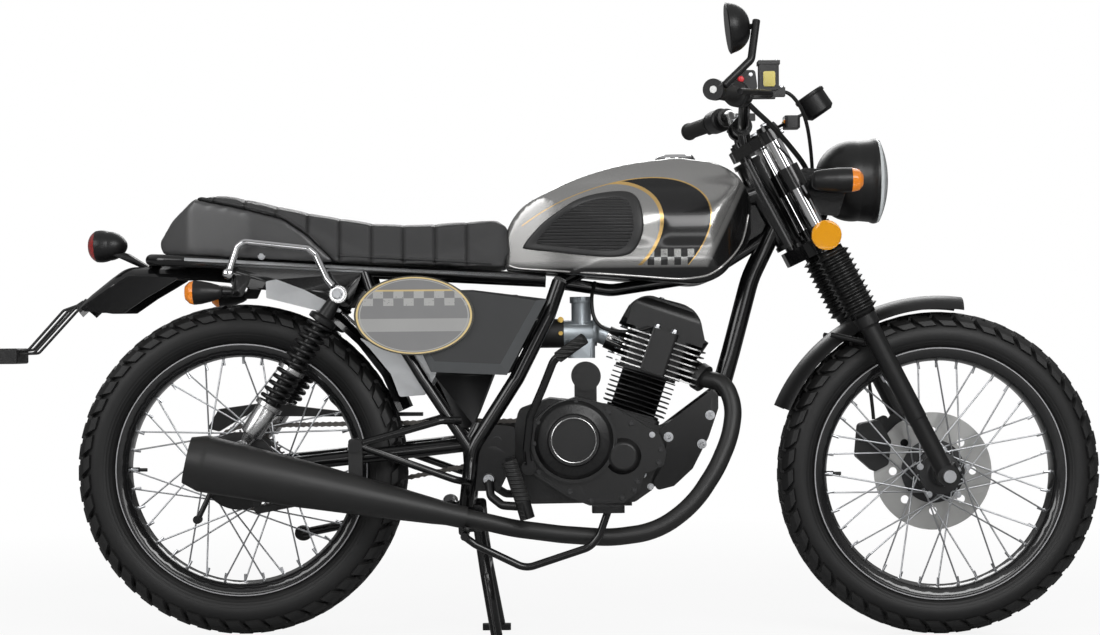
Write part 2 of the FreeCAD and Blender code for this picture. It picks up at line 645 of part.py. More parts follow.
def brake_caliper():
    """A body that straddles the disc behind the left fork leg, with a bracket to the slider's lug."""
    x, z = 638.0, 360.0
    inner, outer = DISC_Y - 12, LUG_Y - GAP
    body = plate([(x - 34, z + 44), (x + 6, z + 52), (x + 28, z + 10), (x + 22, z - 36), (x - 6, z - 50),
                  (x - 40, z - 20)],
                 inner, outer, 9)
    slot = washer(FRONT_AXLE_X, FRONT_AXLE_Z, DISC_Y - 1.5, DISC_Y + DISC_T + 1.5, DISC_R + 4, 20)
    hub_room = across(FRONT_AXLE_X, FRONT_AXLE_Z, inner - 1, outer + 1, 66)
    bracket = plate([(x - 10, z + 46), (x + 22, z + 62), (x + 44, z + 20), (x + 56, z - 8), (x + 16, z - 20)],
                    outer - 10, outer, 8)
    return fused([body.cut(together([slot, hub_room])), bracket.cut(hub_room)])


# ---- frame ----

def main_frame():
    """Head tube, backbone, downtube with its engine plates, and the side tubes that carry the swingarm."""
    head = Part.makeCylinder(HEAD_R, HEAD_HIGH - HEAD_LOW, V(0, 0, HEAD_LOW))
    cups = [Part.makeCylinder(HEAD_R + 3, 9, V(0, 0, t)) for t in (HEAD_LOW, HEAD_HIGH - 9)]
    head = steered(fused([head] + cups))
    bore = steered(Part.makeCylinder(12 + GAP, 400, V(0, 0, HEAD_LOW - 100)))
    top, low, down = steer_point(0, 0, 640), steer_point(0, 0, 560), steer_point(0, 0, 575)
    parts = [head]
    parts.append(tube([top, (190, 0, 778), (20, 0, CROSS_Z + 8)], 21, 200))
    parts.append(tube([low, (300, 0, 694), (120, 0, 668), (20, 0, CROSS_Z)], 12, 80))
    parts.append(tube([down, (389, 0, 690), (350, 0, 545), (326, 0, 462)], 18, 200))
    parts.append(plate([(top[0], top[2] - 20), (top[0] - 90, top[2] - 60), (low[0] - 60, low[2] - 50),
                        (low[0], low[2] - 20)],
                       -3, 3))
    parts.append(bar((20, -RAIL_Y, CROSS_Z), (20, RAIL_Y, CROSS_Z), 13))
    parts.append(across(PIVOT_X, PIVOT_Z, -SIDE_TUBE_Y - 14, SIDE_TUBE_Y + 14, 9))
    parts.append(bar((-159, -SIDE_TUBE_Y, 262), (-159, SIDE_TUBE_Y, 262), TUBE_R))
    for s in (-1, 1):
        parts += [side_tubes(TUBE_R, s), rear_tube(10, s)]
        parts.append(plate([(-146, 420), (-66, 410), (-66, 350), (-96, 290), (-160, 290), (-165, 372)],
                           *sorted((s * (SIDE_TUBE_Y - 6), s * (SIDE_TUBE_Y + 4))), 8))
        parts.append(plate([(-176, 262), (-128, 262), (STAND_X + 14, STAND_Z - 14),
                            (STAND_X - 14, STAND_Z - 14),
                            (-174, 200)], *sorted((s * 88, s * 96)), 8))
        parts.append(plate(ENGINE_PLATE, *sorted((s * 40, s * 46)), 8))
        parts += hanger(s)
    parts += [across(x, z, -54, 54, 4.6) for x, z in ENGINE_BOLTS]
    parts.append(across(316, 468, -46, 46, 8))
    frame = fused(parts).cut(bore)
    frame = frame.cut(across(STAND_X, STAND_Z, -120, 120, 9 + STAND_PLAY))
    return fused([frame, side_stand_lug()])


def seat_frame():
    """Two rails and the hoop behind the seat, with the hanger plates for shocks and grab rails."""
    front = RAIL_X0 + 24
    loop = [(front, -RAIL_Y, rail_z(front)), (TAIL_X + 68, -RAIL_Y, rail_z(TAIL_X + 68)),
            (TAIL_X, -RAIL_Y + 6, rail_z(TAIL_X)), (TAIL_X, RAIL_Y - 6, rail_z(TAIL_X)),
            (TAIL_X + 68, RAIL_Y, rail_z(TAIL_X + 68)), (front, RAIL_Y, rail_z(front))]
    parts = [tube(loop, RAIL_R, 55), fender_post(TAIL_X + 64), fender_post(TAIL_X)]
    for x in (-190, -470, TAIL_X + 64):
        parts.append(bar((x, -RAIL_Y, rail_z(x)), (x, RAIL_Y, rail_z(x)), 8))
    for s in (-1, 1):
        parts.append(plate([(-600, rail_z(-600)), (-350, rail_z(-350)), (-376, 640), (-410, 640), (-540, 676),
                            (-600, 680)], *sorted((s * (RAIL_Y + 4), s * (RAIL_Y + 9))), 8))
        parts.append(plate([(-534, 688), (-514, 692), (-462, 672), (-404, 642), (-384, 628), (-436, 632),
                            (-533, 657)],
                           *sorted((s * (RAIL_Y + 8), s * (RAIL_Y + 11))), 3))
        parts.append(across(*SHOCK_TOP, *sorted((s * (RAIL_Y + 6), s * (SHOCK_Y + 26))), 7))
        parts.append(across(-600, 702, *sorted((s * (RAIL_Y - 4), s * (GRAB_Y - 6.5 - GAP))), 6))
    room = [tube_room for s in (-1, 1) for tube_room in (side_tubes(TUBE_R + GAP, s), rear_tube(10 + GAP, s))]
    room.append(bar((20, -RAIL_Y, CROSS_Z), (20, RAIL_Y, CROSS_Z), 13 + GAP))
    return fused(parts).cut(together(room))


SHOCK_FOOT = (REAR_AXLE_X + 14, REAR_AXLE_Z + 44)


def swingarm():
    """Two arms from a pivot sleeve, a cross brace ahead of the tyre and slotted axle plates."""
    parts = [across(PIVOT_X, PIVOT_Z, -SIDE_TUBE_Y + 6 + GAP, SIDE_TUBE_Y - 6 - GAP, 17)]
    for s in (-1, 1):
        arm = tube([(PIVOT_X, s * SWING_Y, PIVOT_Z), (-210, s * SWING_Y, 371),
                    (REAR_AXLE_X + 40, s * SWING_REAR_Y, 336)],
                   14, 120)
        ends = sorted((s * (SWING_REAR_Y - 6), s * (SWING_REAR_Y + 13)))
        end = plate([(REAR_AXLE_X - 34, REAR_AXLE_Z + 16), (REAR_AXLE_X + 50, REAR_AXLE_Z + 24),
                     (REAR_AXLE_X + 50, REAR_AXLE_Z - 16), (REAR_AXLE_X - 34, REAR_AXLE_Z - 16)], ends[0],
                    ends[1], 8)
        stud = across(SHOCK_FOOT[0], SHOCK_FOOT[1], *sorted((s * (SWING_REAR_Y + 2), s * (SHOCK_Y + 18))), 7)
        lug = plate([(SHOCK_FOOT[0] - 20, REAR_AXLE_Z + 4), (SHOCK_FOOT[0] + 26, REAR_AXLE_Z + 4),
                     (SHOCK_FOOT[0] + 12, SHOCK_FOOT[1] + 12), (SHOCK_FOOT[0] - 12, SHOCK_FOOT[1] + 12)],
                    *sorted((s * (SWING_REAR_Y + 3), s * (SWING_REAR_Y + 12))), 6)
        parts += [arm, end, stud, lug]
    parts.append(bar((-205, -SWING_Y, 371), (-205, SWING_Y, 371), 13))
    whole = fused(parts)
    return whole.cut(together([across(REAR_AXLE_X, REAR_AXLE_Z, -150, 150, AXLE_R + RUNNING),
                               across(PIVOT_X, PIVOT_Z, -150, 150, 9 + RUNNING)]))


def rear_shocks():
    """Two springs in line round a rod, between the silver body's collar, a middle ring and the top cap."""
    top, foot = V(SHOCK_TOP[0], SHOCK_Y, SHOCK_TOP[1]), V(SHOCK_FOOT[0], SHOCK_Y, SHOCK_FOOT[1])
    axis = top - foot
    collar, middle, cap = 104.0, 176.0, axis.Length - 62
    outline = [(0, 14), (10, 14), (14, 30), (21, 34), (21, 92), (27, 94), (27, collar), (13, collar),
               (13, middle - 5),
               (26, middle - 4), (26, middle + 4), (13, middle + 5), (13, cap), (27, cap + 2), (27, cap + 10),
               (16, cap + 14), (12, axis.Length - 16), (0, axis.Length - 16)]
    springs = [coil(foot, axis, collar - 3, middle - 1, 14.8, 21.5, 4),
               coil(foot, axis, middle + 1, cap + 3, 14.2, 21.5, 4)]
    eyes = [washer(p.x, p.z, SHOCK_Y - 11, SHOCK_Y + 11, 17, 7 + GAP) for p in (top, foot)]
    bores = together([across(p.x, p.z, SHOCK_Y - 30, SHOCK_Y + 30, 7 + GAP) for p in (top, foot)])
    return both_sides(fused([turned(outline, foot, axis).cut(bores)] + eyes + springs))


# ---- engine ----

def crankcase():
    body = plate([(-78, 300), (-82, 345), (-60, 440), (0, 462), (80, 452), (216, 405), (232, 370), (212, 300),
                  (160, 264), (-40, 262)], -72, 72, 14)
    deck = engine_placed(rounded_box(-54, 54, -54, 54, -30, 0, 10))
    left = plate([(-66, 330), (-58, 430), (0, 452), (110, 448), (196, 400), (206, 350), (180, 292), (110, 272),
                  (-10, 284)], 70, 84, 22)
    magneto = across(128, 362, 80, 112, 72)
    sump = block(90, 156, -30, 30, 254, 266)
    starter = fused([across(70, 503, -40, 52, 28), block(48, 90, -34, 40, 440, 490)])
    chin = plate([(200, 300), (200, 400), (290, 440), (314, 440), (304, 390), (262, 320)], -39, 39, 8)
    case = fused([body, deck, left, magneto, sump, starter, chin])
    room = [across(x, z, -60, 60, 4.6 + GAP) for x, z in ENGINE_BOLTS]
    room += [plate(ENGINE_PLATE_ROOM, *sorted((s * 39.5, s * 160)), 8) for s in (-1, 1)]
    room.append(plate([(-140, 320), (-140, 480), (SPROCKET_X + 44, 480), (SPROCKET_X + 44, 320)], CHAIN_Y - 13,
                      160))
    room.append(across(PIVOT_X, PIVOT_Z, -120, 120, 22))
    nose = across(SPROCKET_X, SPROCKET_Z, 50, CHAIN_Y + 12, 12)
    wheel = toothed(SPROCKET_X, SPROCKET_Z, CHAIN_Y - 3, CHAIN_Y + 3, FRONT_PITCH_R - 8, 15, 8)
    return fused([case.cut(together(room)), nose, wheel])


def clutch_cover():
    """The right side cover: a broad case, a step round the clutch drum, and the oil filter's small cap."""
    outline = [(-38, 378), (-30, 424), (0, 450), (50, 466), (118, 448), (158, 424), (206, 394), (218, 362),
               (212, 336),
               (178, 322), (166, 288), (138, 267), (73, 262), (30, 280), (-33, 322)]
    base = plate(outline, -126, -72 - GAP, 8)
    step = across(CLUTCH_X, CLUTCH_Z, -138, -100, 81).common(plate(outline, -138, -100, 8))
    drum = turned([(0, 110), (76, 110), (74, 139), (66, 149), (50, 152), (47, 158), (39, 158), (39, 156),
                   (0, 156)],
                  (CLUTCH_X, 0, CLUTCH_Z), (0, -1, 0))
    cap = turned([(0, 110), (42, 110), (32, 131), (27, 139), (22, 141), (0, 141)], (136, 0, 354), (0, -1, 0))
    return fused([base, step, drum, cap])


def cylinder():
    """A finned barrel: thin plates with rounded corners on a round core."""
    core = Part.makeCylinder(44, BARREL_H - GAP, V(0, 0, GAP))
    fins, z = [], 8.0
    while z + FIN_T < BARREL_H - 4:
        fins.append(rounded_box(-60, 60, -62, 62, z, z + FIN_T, 14))
        z += FIN_PITCH
    skirt = rounded_box(-50, 50, -50, 50, GAP, 5, 10)
    flange = rounded_box(-58, 58, -58, 58, BARREL_H - 6, BARREL_H, 12)
    return engine_placed(fused([core, skirt, flange] + fins))


def cylinder_head():
    """Deep fins fore and aft of a solid middle, with ports, a ribbed rocker cover and two tappet caps."""
    low = BARREL_H + GAP
    core = rounded_box(-52, 66, -48, 48, low, low + HEAD_H, 14)
    middle = rounded_box(-18, 36, -72, 72, low, low + HEAD_H + 6, 8)
    fins = []
    for i in range(7):
        z = low + 2 + i * (HEAD_H - 8) / 6.5
        reach = 92 if i < 2 else 84
        fins.append(rounded_box(12 - reach, 12 + reach, -70, 70, z, z + FIN_T, 22))
    ribs = [block(-80, 100, y - 1.5, y + 1.5, low + HEAD_H + 8, 240) for y in (-36, -18, 0, 18, 36)]
    ribs = together(ribs).common(rocker_cover(4))
    caps = [bar((48, 0, low + HEAD_H + 6), (92, 0, low + HEAD_H - 8), 21),
            bar((-34, 0, low + HEAD_H + 6), (-74, 0, low + HEAD_H + 14), 21)]
    port, inlet = bar(EXHAUST_IN, EXHAUST_OUT, 24), bar(INLET_IN, INLET_OUT, 22)
    past = V(*EXHAUST_OUT) * 2 - V(*EXHAUST_IN)
    head = fused([core, middle, rocker_cover(0), ribs, port, inlet] + caps + fins)
    return engine_placed(head.cut(bar(EXHAUST_OUT, past, 28)))


def carburettor():
    """Inlet pipe, bored body with its slide tube above and float bowl below, and the air hose behind."""
    mid = (62.0, 0.0, 586.0)
    start, after = beyond(INLET_IN, INLET_OUT, GAP), beyond(INLET_IN, INLET_OUT, 12)
    manifold = tube([start, after, (mid[0] + 20, 0, mid[2] + 2)], 18, 20)
    flange = bar((mid[0] + 30, 0, mid[2] + 2), (mid[0] + 22, 0, mid[2] + 2), 27)
    body = bar((mid[0] + 22, 0, mid[2]), (mid[0] - 34, 0, mid[2]), 25)
    slide = bar((mid[0], 0, mid[2] - 10), (mid[0], 0, mid[2] + 62), 19)
    cap = bar((mid[0], 0, mid[2] + 58), (mid[0], 0, mid[2] + 70), 22)
    bowl = rounded_box(mid[0] - 26, mid[0] + 26, -26, 26, mid[2] - 48, mid[2] - 12, 10)
    hose = bar((mid[0] - 34, 0, mid[2]), (AIR_BOX_X + GAP, 0, mid[2]), 28)
    return fused([manifold, flange, body, slide, cap, bowl, hose])


def exhaust_header():
    """The pipe leaves the port forward, sweeps down past the engine and runs back to the muffler."""
    start, after = beyond(EXHAUST_IN, EXHAUST_OUT, GAP), beyond(EXHAUST_IN, EXHAUST_OUT, 15)
    front, rear = V(*MUFFLER_FRONT), V(*MUFFLER_REAR)
    joint = front + (front - rear) * 0.08
    pipe = tube([start, after, (332, -66, 490), (349, -82, 444), (340, -97, 388), (313, -114, 330),
                 (268, -131, 264), (198, -140, 214), (110, -141, 203), (20, -140, 210), (-70, -139, 222),
                 tuple(joint), MUFFLER_FRONT], PIPE_R, 260)
    collar = bar(start, beyond(EXHAUST_IN, EXHAUST_OUT, 15), 27)
    return fused([pipe, collar])


def muffler():
    front, rear = V(*MUFFLER_FRONT), V(*MUFFLER_REAR)
    axis = rear - front
    n = axis.Length
    outline = [(0, GAP), (21, GAP), (21, 34), (24, 60), (30, 128), (44, 310), (52.5, n - 36), (52.5, n - 30),
               (43, n), (36, n), (36, n - 10), (OUTLET_R, n - 10), (OUTLET_R, n - 30), (0, n - 30)]
    inside = [(0, 30), (18, 60), (24, 128), (38, 310), (46, n - 40), (0, n - 40)]
    bracket = plate([(-376, 306), (-350, 306), (-350, 392), (-376, 392)], -150 - GAP, -144 - GAP, 6)
    return fused([turned(outline, front, axis), bracket.cut(turned(inside, front, axis))])


# ---- bodywork ----

def arc_face(points_arcs, place):
    """A closed face from arcs and lines: each entry is (end,) for a line or (through, end) for an arc."""
    edges, here = [], place(points_arcs[-1][-1])
    for entry in points_arcs:
        end = place(entry[-1])
        if len(entry) == 1:
            edges.append(Part.LineSegment(here, end).toShape())
        else:
            edges.append(Part.Arc(here, place(entry[0]), end).toShape())
        here = end
    return Part.Face(Part.Wire(edges))


def tank_blank(grow=0.0):
    side = [((-74, 792), (-16, 845)), ((95, 893), (216, 916)), ((246, 919), (282, 914)),
            ((362, 880), (395, 816)),
            ((388, 770), (350, 722)), ((318, 688), (268, 677)), ((11, 699),), ((-78, 708),),
            ((-84, 712), (-84, 722))]
    profile = arc_face(side, lambda p: V(p[0], -200, p[1])).extrude(V(0, 400, 0))
    wide = TANK_HALF + grow
    plan = [((40, wide - 7), (210, wide)), ((330, 118 + grow), (372, 70 + grow)),
            ((397 + grow, 0), (372, -70 - grow)),
            ((330, -118 - grow), (210, -wide)), ((40, 7 - wide), (-84, -78 - grow)), ((-84, 78 + grow),)]
    top = arc_face(plan, lambda p: V(p[0], p[1], 600)).extrude(V(0, 0, 400))
    section = [((-wide - 1, 800), (-92 - grow, 862)), ((0, 935), (92 + grow, 862)),
               ((wide + 1, 800), (wide, 745)),
               ((wide - 4, 700), (100, 670)), ((-100, 670),), ((4 - wide, 700), (-wide, 745))]
    crown = arc_face(section, lambda p: V(-150, p[0], p[1])).extrude(V(600, 0, 0))
    return profile.common(top).common(crown)


def fuel_tank():
    """Side, plan and crown outlines meet, less the frame's tunnel and the filler's recess."""
    tunnel = plate([(-100, 640), (-100, 742), (10, 742), (180, 806), (330, 852), (420, 880), (420, 640)], -30,
                   30)
    front_room = plate([(300, 640), (330, 852), (450, 900), (450, 640)], -36, 36)
    recess = Part.makeCylinder(39 + GAP, 60, V(CAP_X, 0, CAP_Z - GAP))
    return tank_blank().cut(together([tunnel, front_room])).cut(recess)


def fuel_cap():
    return turned([(0, 0), (33, 0), (39, 4), (39, 12), (34, 19), (0, 22)], (CAP_X, 0, CAP_Z))


def knee_pads():
    outline = [(-50, 747), (20, 812), (100, 848), (146, 852), (174, 836), (180, 796), (166, 752), (130, 732),
               (90, 727), (-30, 738)]
    pad = plate(outline, 60, 200, 10)
    return both_sides(pad.common(tank_blank(7)).cut(tank_blank(GAP)))


def seat():
    top = [(-60, 718), (-60, 786), (-96, 800), (-170, 797), (-246, 793), (-324, 796), (-432, 813), (-515, 832),
           (-600, 850), (-640, 853), (-672, 846), (-579, 826), (-502, 806), (-452, 772), (-405, 726),
           (-405, rail_z(-405) + RAIL_R + GAP), (-60, rail_z(-60) + RAIL_R + GAP + 6)]
    profile = plate(top, -150, 150)
    plan = slab([(-60, -95), (-60, 95), (-200, 108), (-330, 113), (-560, 104), (-690, 80), (-690, -80),
                 (-560, -104),
                 (-330, -113), (-200, -108)], 600, 900, 40)
    tank = tank_blank()
    tank.translate(V(-GAP, 0, 0))
    return profile.common(plan).cut(tank).cut(across(-50, 716, -200, 200, 30))


def tail_cowl():
    side = [(-405 - GAP, 726), (-452, 772 - GAP), (-502, 806 - GAP), (-579, 826 - GAP), (-672, 846 - GAP),
            (-716, 806),
            (-744, 764), (-736, rail_z(-736) + RAIL_R + GAP), (-405 - GAP, rail_z(-405) + RAIL_R + GAP)]
    profile = plate(side, -150, 150)
    plan = slab([(-380, -109), (-380, 109), (-560, 103), (-680, 84), (-748, 48), (-748, -48), (-680, -84),
                 (-560, -103)], 600, 900, 30)
    return profile.common(plan)


def side_covers():
    """A panel with sloping edges below and in front, held off the rails and the air box by posts."""
    outer = [(-226, 668), (-142, 668), (-4, 650), (-80, 508), (-222, 515), (-262, 600)]
    inner = [(-223, 665), (-143, 665), (-24, 647), (-92, 529), (-214, 535), (-256, 600)]
    rims = [Part.makePolygon([V(x, y, z) for x, z in line + line[:1]]) for line,
            y in ((outer, 128), (inner, 138))]
    panel = fused([plate(outer, 123, 128), Part.makeLoft(rims, True, True)])
    posts = [across(-150, 640, 70 + GAP, 126, 7), across(-150, 560, 70 + GAP, 126, 7)]
    return both_sides(fused([panel] + posts))


def oval_plates():
    """The oval number plates that stand in front of the side covers."""
    disc = Part.makeCylinder(74, 7)
    matrix = FreeCAD.Matrix()
    matrix.A11 = 112.0 / 74.0
    disc = disc.transformGeometry(matrix)
    disc.rotate(ORIGIN, X, -90)
    disc.translate(V(-252, 138 + GAP, 621))
    return both_sides(disc)


def rear_fender():
    """An arched band that follows the tyre from its front, runs flat under the seat, falls to its tail."""
    half, wall, drop = 60.0, 3.0, 24.0
    path = [(REAR_AXLE_X + r * math.cos(math.radians(a)), 0, REAR_AXLE_Z + r * math.sin(math.radians(a)))
            for a, r in FENDER_FRONT]
    path += [(REAR_AXLE_X - behind, 0, z) for behind, z in FENDER_TAIL]
    section = [(-half, -drop), (-half + 4, -14), (-half + 12, -6), (-half + 28, 0), (half - 28, 0),
               (half - 12, -6),
               (half - 4, -14), (half, -drop), (half - wall, -drop), (half - 7, -15), (half - 14, -9),
               (half - 29, -wall), (29 - half, -wall), (14 - half, -9), (7 - half, -15), (wall - half, -drop)]
    band = swept(path, 60, section)
    skirt = [(REAR_AXLE_X - behind, z) for behind, z in FENDER_SKIRT]
    skirts = [plate(skirt, *sorted((s * half, s * (half - wall))), 5) for s in (-1, 1)]
    return fused([band] + skirts)


def tail_lamp():
    """A bullet-shaped lamp, its lens behind, on a stay that leans up from the fender's tail."""
    x = REAR_AXLE_X - 223.5
    shell = [((20, 10), (28, 32)), ((31, 46), (30, 58)), ((28, 61),), ((18, 70), (4, 73)), ((0, 73),),
             ((0, -2),), ((6, -1),)]
    body = turned_curves(shell, (x, 0, 763), (-1, 0, -0.03))
    top = FENDER_TAIL[0][1] + GAP
    stay = plate([(x - 26, 745), (x + 2, 748), (x + 46, top), (x + 28, top)], -18, 18)
    return fused([body, stay])


def plate_bracket():
    """Bent rods from a pad on the fender's tail down to the blank plate's holder and its reflector."""
    x = REAR_AXLE_X - 311.5
    pad = plate([(x, 642 + GAP), (x + 16, 656.6 + GAP), (x + 13, 660 + GAP), (x - 6, 644)], -24, 24)
    rods = []
    for s in (-1, 1):
        rods.append(tube([(x + 8, s * 20, 655), (x - 4, s * 20, 647), (x - 30, s * 20, 638),
                          (x - 98, s * 20, 563),
                          (x - 120, s * 20, 560)], 2.6, 10))
        rods.append(tube([(x + 4, s * 20, 651.5), (x - 7, s * 20, 643), (x - 16, s * 20, 634),
                          (x - 88, s * 20, 556),
                          (x - 120, s * 20, 555)], 2.6, 10))
    holder = plate([(x - 151, 536), (x - 114, 536), (x - 114, 566), (x - 151, 566)], -42, 42, 4)
    reflector = softened(block(x - 155, x - 150, -38, 38, 538, 564), 2, lambda c: c.x < x - 154)
    return fused([pad, holder, reflector] + rods)


def rear_indicators():
    """A tapered body that ends in its lens, on a stalk from a pad on the seat frame."""
    body = turned([(0, -34), (9, -33), (13, -26), (18, -10), (21.5, 6), (22.5, 17), (22.5, 20), (20.5, 28),
                   (13, 36), (0, 38)],
                  (-640, 152, 667), (-1, 0, -0.02))
    stalk = bar((-592, 101, 668), (-592, 146, 668), 6)
    pad = plate([(-606, 660), (-578, 660), (-560, 700), (-588, 700)], RAIL_Y + 9 + GAP, RAIL_Y + 14, 5)
    link = bar((-592, 146, 668), (-613, 151, 668), 6)
    return both_sides(fused([body, stalk, pad, link]))


def grab_rails():
    """A bent rail on each side, from the stub behind to an eye on the shock's upper stud."""
    y = GRAB_Y
    rail = tube([(-600, y, 702), (-583, y, 752), (-570, y, 762), (-450, y, 748), (-436, y, 736),
                 (-414, y + 10, 690),
                 (-402, SHOCK_Y + 20, 676)], 6.5, 14)
    eye = washer(*SHOCK_TOP, SHOCK_Y + 11 + GAP, SHOCK_Y + 24, 13, 7 + GAP)
    rail = rail.cut(across(*SHOCK_TOP, SHOCK_Y + 5, SHOCK_Y + 40, 7 + GAP))
    return both_sides(fused([rail, eye]))


def chain_path(r_front, r_rear):
    """The open belt line round both sprockets, as an outline of two arcs and two tangents."""
    a, b = V(SPROCKET_X, 0, SPROCKET_Z), V(REAR_AXLE_X, 0, REAR_AXLE_Z)
    d = b - a
    base = math.atan2(d.z, d.x)
    tilt = math.acos((r_rear - r_front) / d.Length)

    def at(c, r, angle):
        return V(c.x + r * math.cos(angle), 0, c.z + r * math.sin(angle))

    up, down = base - (math.pi - tilt), base + (math.pi - tilt)
    edges = [Part.LineSegment(at(a, r_front, up), at(b, r_rear, up)),
             Part.Arc(at(b, r_rear, up), at(b, r_rear, base), at(b, r_rear, down)),
             Part.LineSegment(at(b, r_rear, down), at(a, r_front, down)),
             Part.Arc(at(a, r_front, down), at(a, r_front, base + math.pi), at(a, r_front, up))]
    return Part.Face(Part.Wire([e.toShape() for e in edges]))


def drive_chain():
    """The chain as one closed belt round both sprockets."""
    outer = chain_path(FRONT_PITCH_R + CHAIN_H / 2, REAR_PITCH_R + CHAIN_H / 2)
    inner = chain_path(FRONT_PITCH_R - CHAIN_H / 2, REAR_PITCH_R - CHAIN_H / 2)
    ring = outer.cut(inner).extrude(V(0, CHAIN_W, 0))
    ring.translate(V(0, CHAIN_Y - CHAIN_W / 2, 0))
    return ring


def chain_guard():
    """A pressed strip over the chain's top run, on a foot that stands on the swingarm."""
    top = REAR_AXLE_Z + REAR_PITCH_R + CHAIN_H / 2 + CLEAR
    x = REAR_AXLE_X
    outline = [(x - 79.5, top - 16), (x - 57.5, top + 22), (x + 32.5, top + 34), (x + 192.5, top + 14),
               (-250, top + 12),
               (-250, top + 5), (x + 192.5, top + 5), (x - 7.5, top + 8), (x - 57.5, top - 22)]
    guard = plate(outline, CHAIN_Y - 12, CHAIN_Y + 12)
    foot = block(-330, -300, CHAIN_Y + 13, CHAIN_Y + 17, 375.5, top + 11)
    reach = block(-330, -300, CHAIN_Y + 8, CHAIN_Y + 17, top + 6, top + 11)
    return fused([guard, foot, reach])


# ---- controls ----

KICK = (-40.0, 336.0)


def kick_start_lever():
    boss = across(KICK[0], KICK[1], -160, -126 - GAP, 14)
    arm = tube([(KICK[0], -152, KICK[1]), (-44, -158, 368), (-37, -168, 430), (-13, -176, 484), (8, -184, 536),
                (60, -206, 572)], 7.5, 30)
    rubber = bar((16, -187, 541), (64, -208, 575), 11)
    return fused([boss, arm, rubber])


def footpegs():
    """Rider's pegs folded up beside the engine and pillion pegs folded up on their hangers."""
    made = []
    for s in (-1, 1):
        peg = tube([(-43, s * 184, 244), (-52, s * 186, 276), (-76, s * 190, 350)], 14, 20)
        foot = across(-116, 312, *sorted((s * (SIDE_TUBE_Y + 4 + GAP), s * (SIDE_TUBE_Y + 14))), 12)
        arm = tube([(-116, s * (SIDE_TUBE_Y + 12), 312), (-112, s * 134, 282), (-90, s * 152, 266),
                    (-46, s * 170, 264),
                    (-46, s * 192, 264)], 8, 18)
        made.append(fused([peg, arm, foot]))
        start = 144 + GAP if s > 0 else 150 + 2 * GAP
        made.append(fused([tube([(-363, s * start, 380), (-363, s * 165, 380), (-384, s * 167, 414),
                                 (-434, s * 170, 462), (-447, s * 171, 495)], 11.5, 14),
                           across(-363, 380, *sorted((s * start, s * (start + 7))), 13)]))
    return together(made)


def brake_pedal():
    """The pedal's rod runs outside the exhaust pipe to a pivot under it."""
    y = -178
    rod = tube([(-160, y, 211), (-140, y, 196), (-47, y, 151), (73, y, 190), (90, y, 212), (105, y, 254)], 7,
               40)
    pad = rounded_box(76, 136, -206, -156, 254, 266, 8)
    shaft = across(-160, 211, -188, -96 - GAP, 7)
    return fused([rod, pad, shaft])


def gear_lever():
    rod = tube([(-10, 120, 318), (40, 132, 292), (120, 140, 270)], 6, 30)
    boss = across(-10, 318, 84 + GAP, 126, 12)
    toe = across(120, 270, 132, 176, 8)
    return fused([rod, boss, toe])


def rear_brake():
    """The fixed plate that closes the drum, with its cam lever, the torque arm and the pedal's rod."""
    outline = [(AXLE_R + RUNNING, -76), (20, -76), (24, -66), (DRUM_R, -62), (DRUM_R, -DRUM_Y - 15),
               (56, -DRUM_Y - 15), (54, -DRUM_Y - 2), (AXLE_R + RUNNING, -DRUM_Y - 2)]
    back = turned(outline, (REAR_AXLE_X, 0, REAR_AXLE_Z), (0, 1, 0))
    cam = across(REAR_AXLE_X - 50, REAR_AXLE_Z - 36, -84, -60, 9)
    end = V(REAR_AXLE_X - 76, -80, REAR_AXLE_Z - 90)
    lever = tube([(REAR_AXLE_X - 50, -80, REAR_AXLE_Z - 36), end], 5, 5)
    swivel = bar(end + V(0, -12, 0), end + V(0, 6, 0), 8)
    arm = plate([(REAR_AXLE_X + 24, REAR_AXLE_Z - 70), (REAR_AXLE_X + 34, REAR_AXLE_Z - 82), (-444, 268),
                 (-444, 282)],
                -70, -64, 4)
    stud = across(REAR_AXLE_X + 34, REAR_AXLE_Z - 62, -70, -60, 8)
    return fused([back, cam, lever, swivel, arm, stud])


# ---- stands ----

def centre_stand():
    """Two splayed legs on a pivot tube, joined low down, each with a foot on the floor."""
    parts = [across(STAND_X, STAND_Z, -88 + GAP, 88 - GAP, 14), across(STAND_X, STAND_Z, -100, 100, 9)]
    for s in (-1, 1):
        parts.append(tube([(STAND_X, s * 66, STAND_Z), (STAND_X + 14, s * 75, 130),
                           (STAND_FOOT_X, s * STAND_FOOT_Y, 12)],
                          11, 60))
        parts.append(rounded_box(STAND_FOOT_X - 34, STAND_FOOT_X + 22, s * STAND_FOOT_Y - 11,
                                 s * STAND_FOOT_Y + 11, 0, 12, 5))
    parts.append(bar((STAND_X + 14, -74, 140), (STAND_X + 14, 74, 140), 9))
    return fused(parts)


def side_stand():
    pivot, foot = V(SIDE_X, SIDE_Y, SIDE_Z), V(*SIDE_FOOT)
    axis = V(*SIDE_AXIS)
    axis.normalize()
    eye = Part.makeCylinder(15, 19, pivot - axis * 9.5, axis)
    leg = tube([tuple(pivot + (foot - pivot) * 0.03), tuple(foot)], 9, 10)
    pad = Part.makeCylinder(17, 6, foot - axis * 3, axis)
    pin = Part.makeCylinder(6 + STAND_PLAY, 60, pivot - axis * 30, axis)
    return fused([eye, leg, pad]).cut(pin)


def side_stand_lug():
    """The ear and pin under the left side tube that the side stand turns on."""
    pivot, axis = V(SIDE_X, SIDE_Y, SIDE_Z), V(*SIDE_AXIS)
    axis.normalize()
    ear = Part.makeCylinder(17, 7, pivot + axis * (9.5 + GAP), axis)
    pin = Part.makeCylinder(6, 24, pivot - axis * 11, axis)
    web = tube([tuple(pivot + axis * 17), (-159, 100, 262)], 6, 10)
    return fused([ear, pin, web])


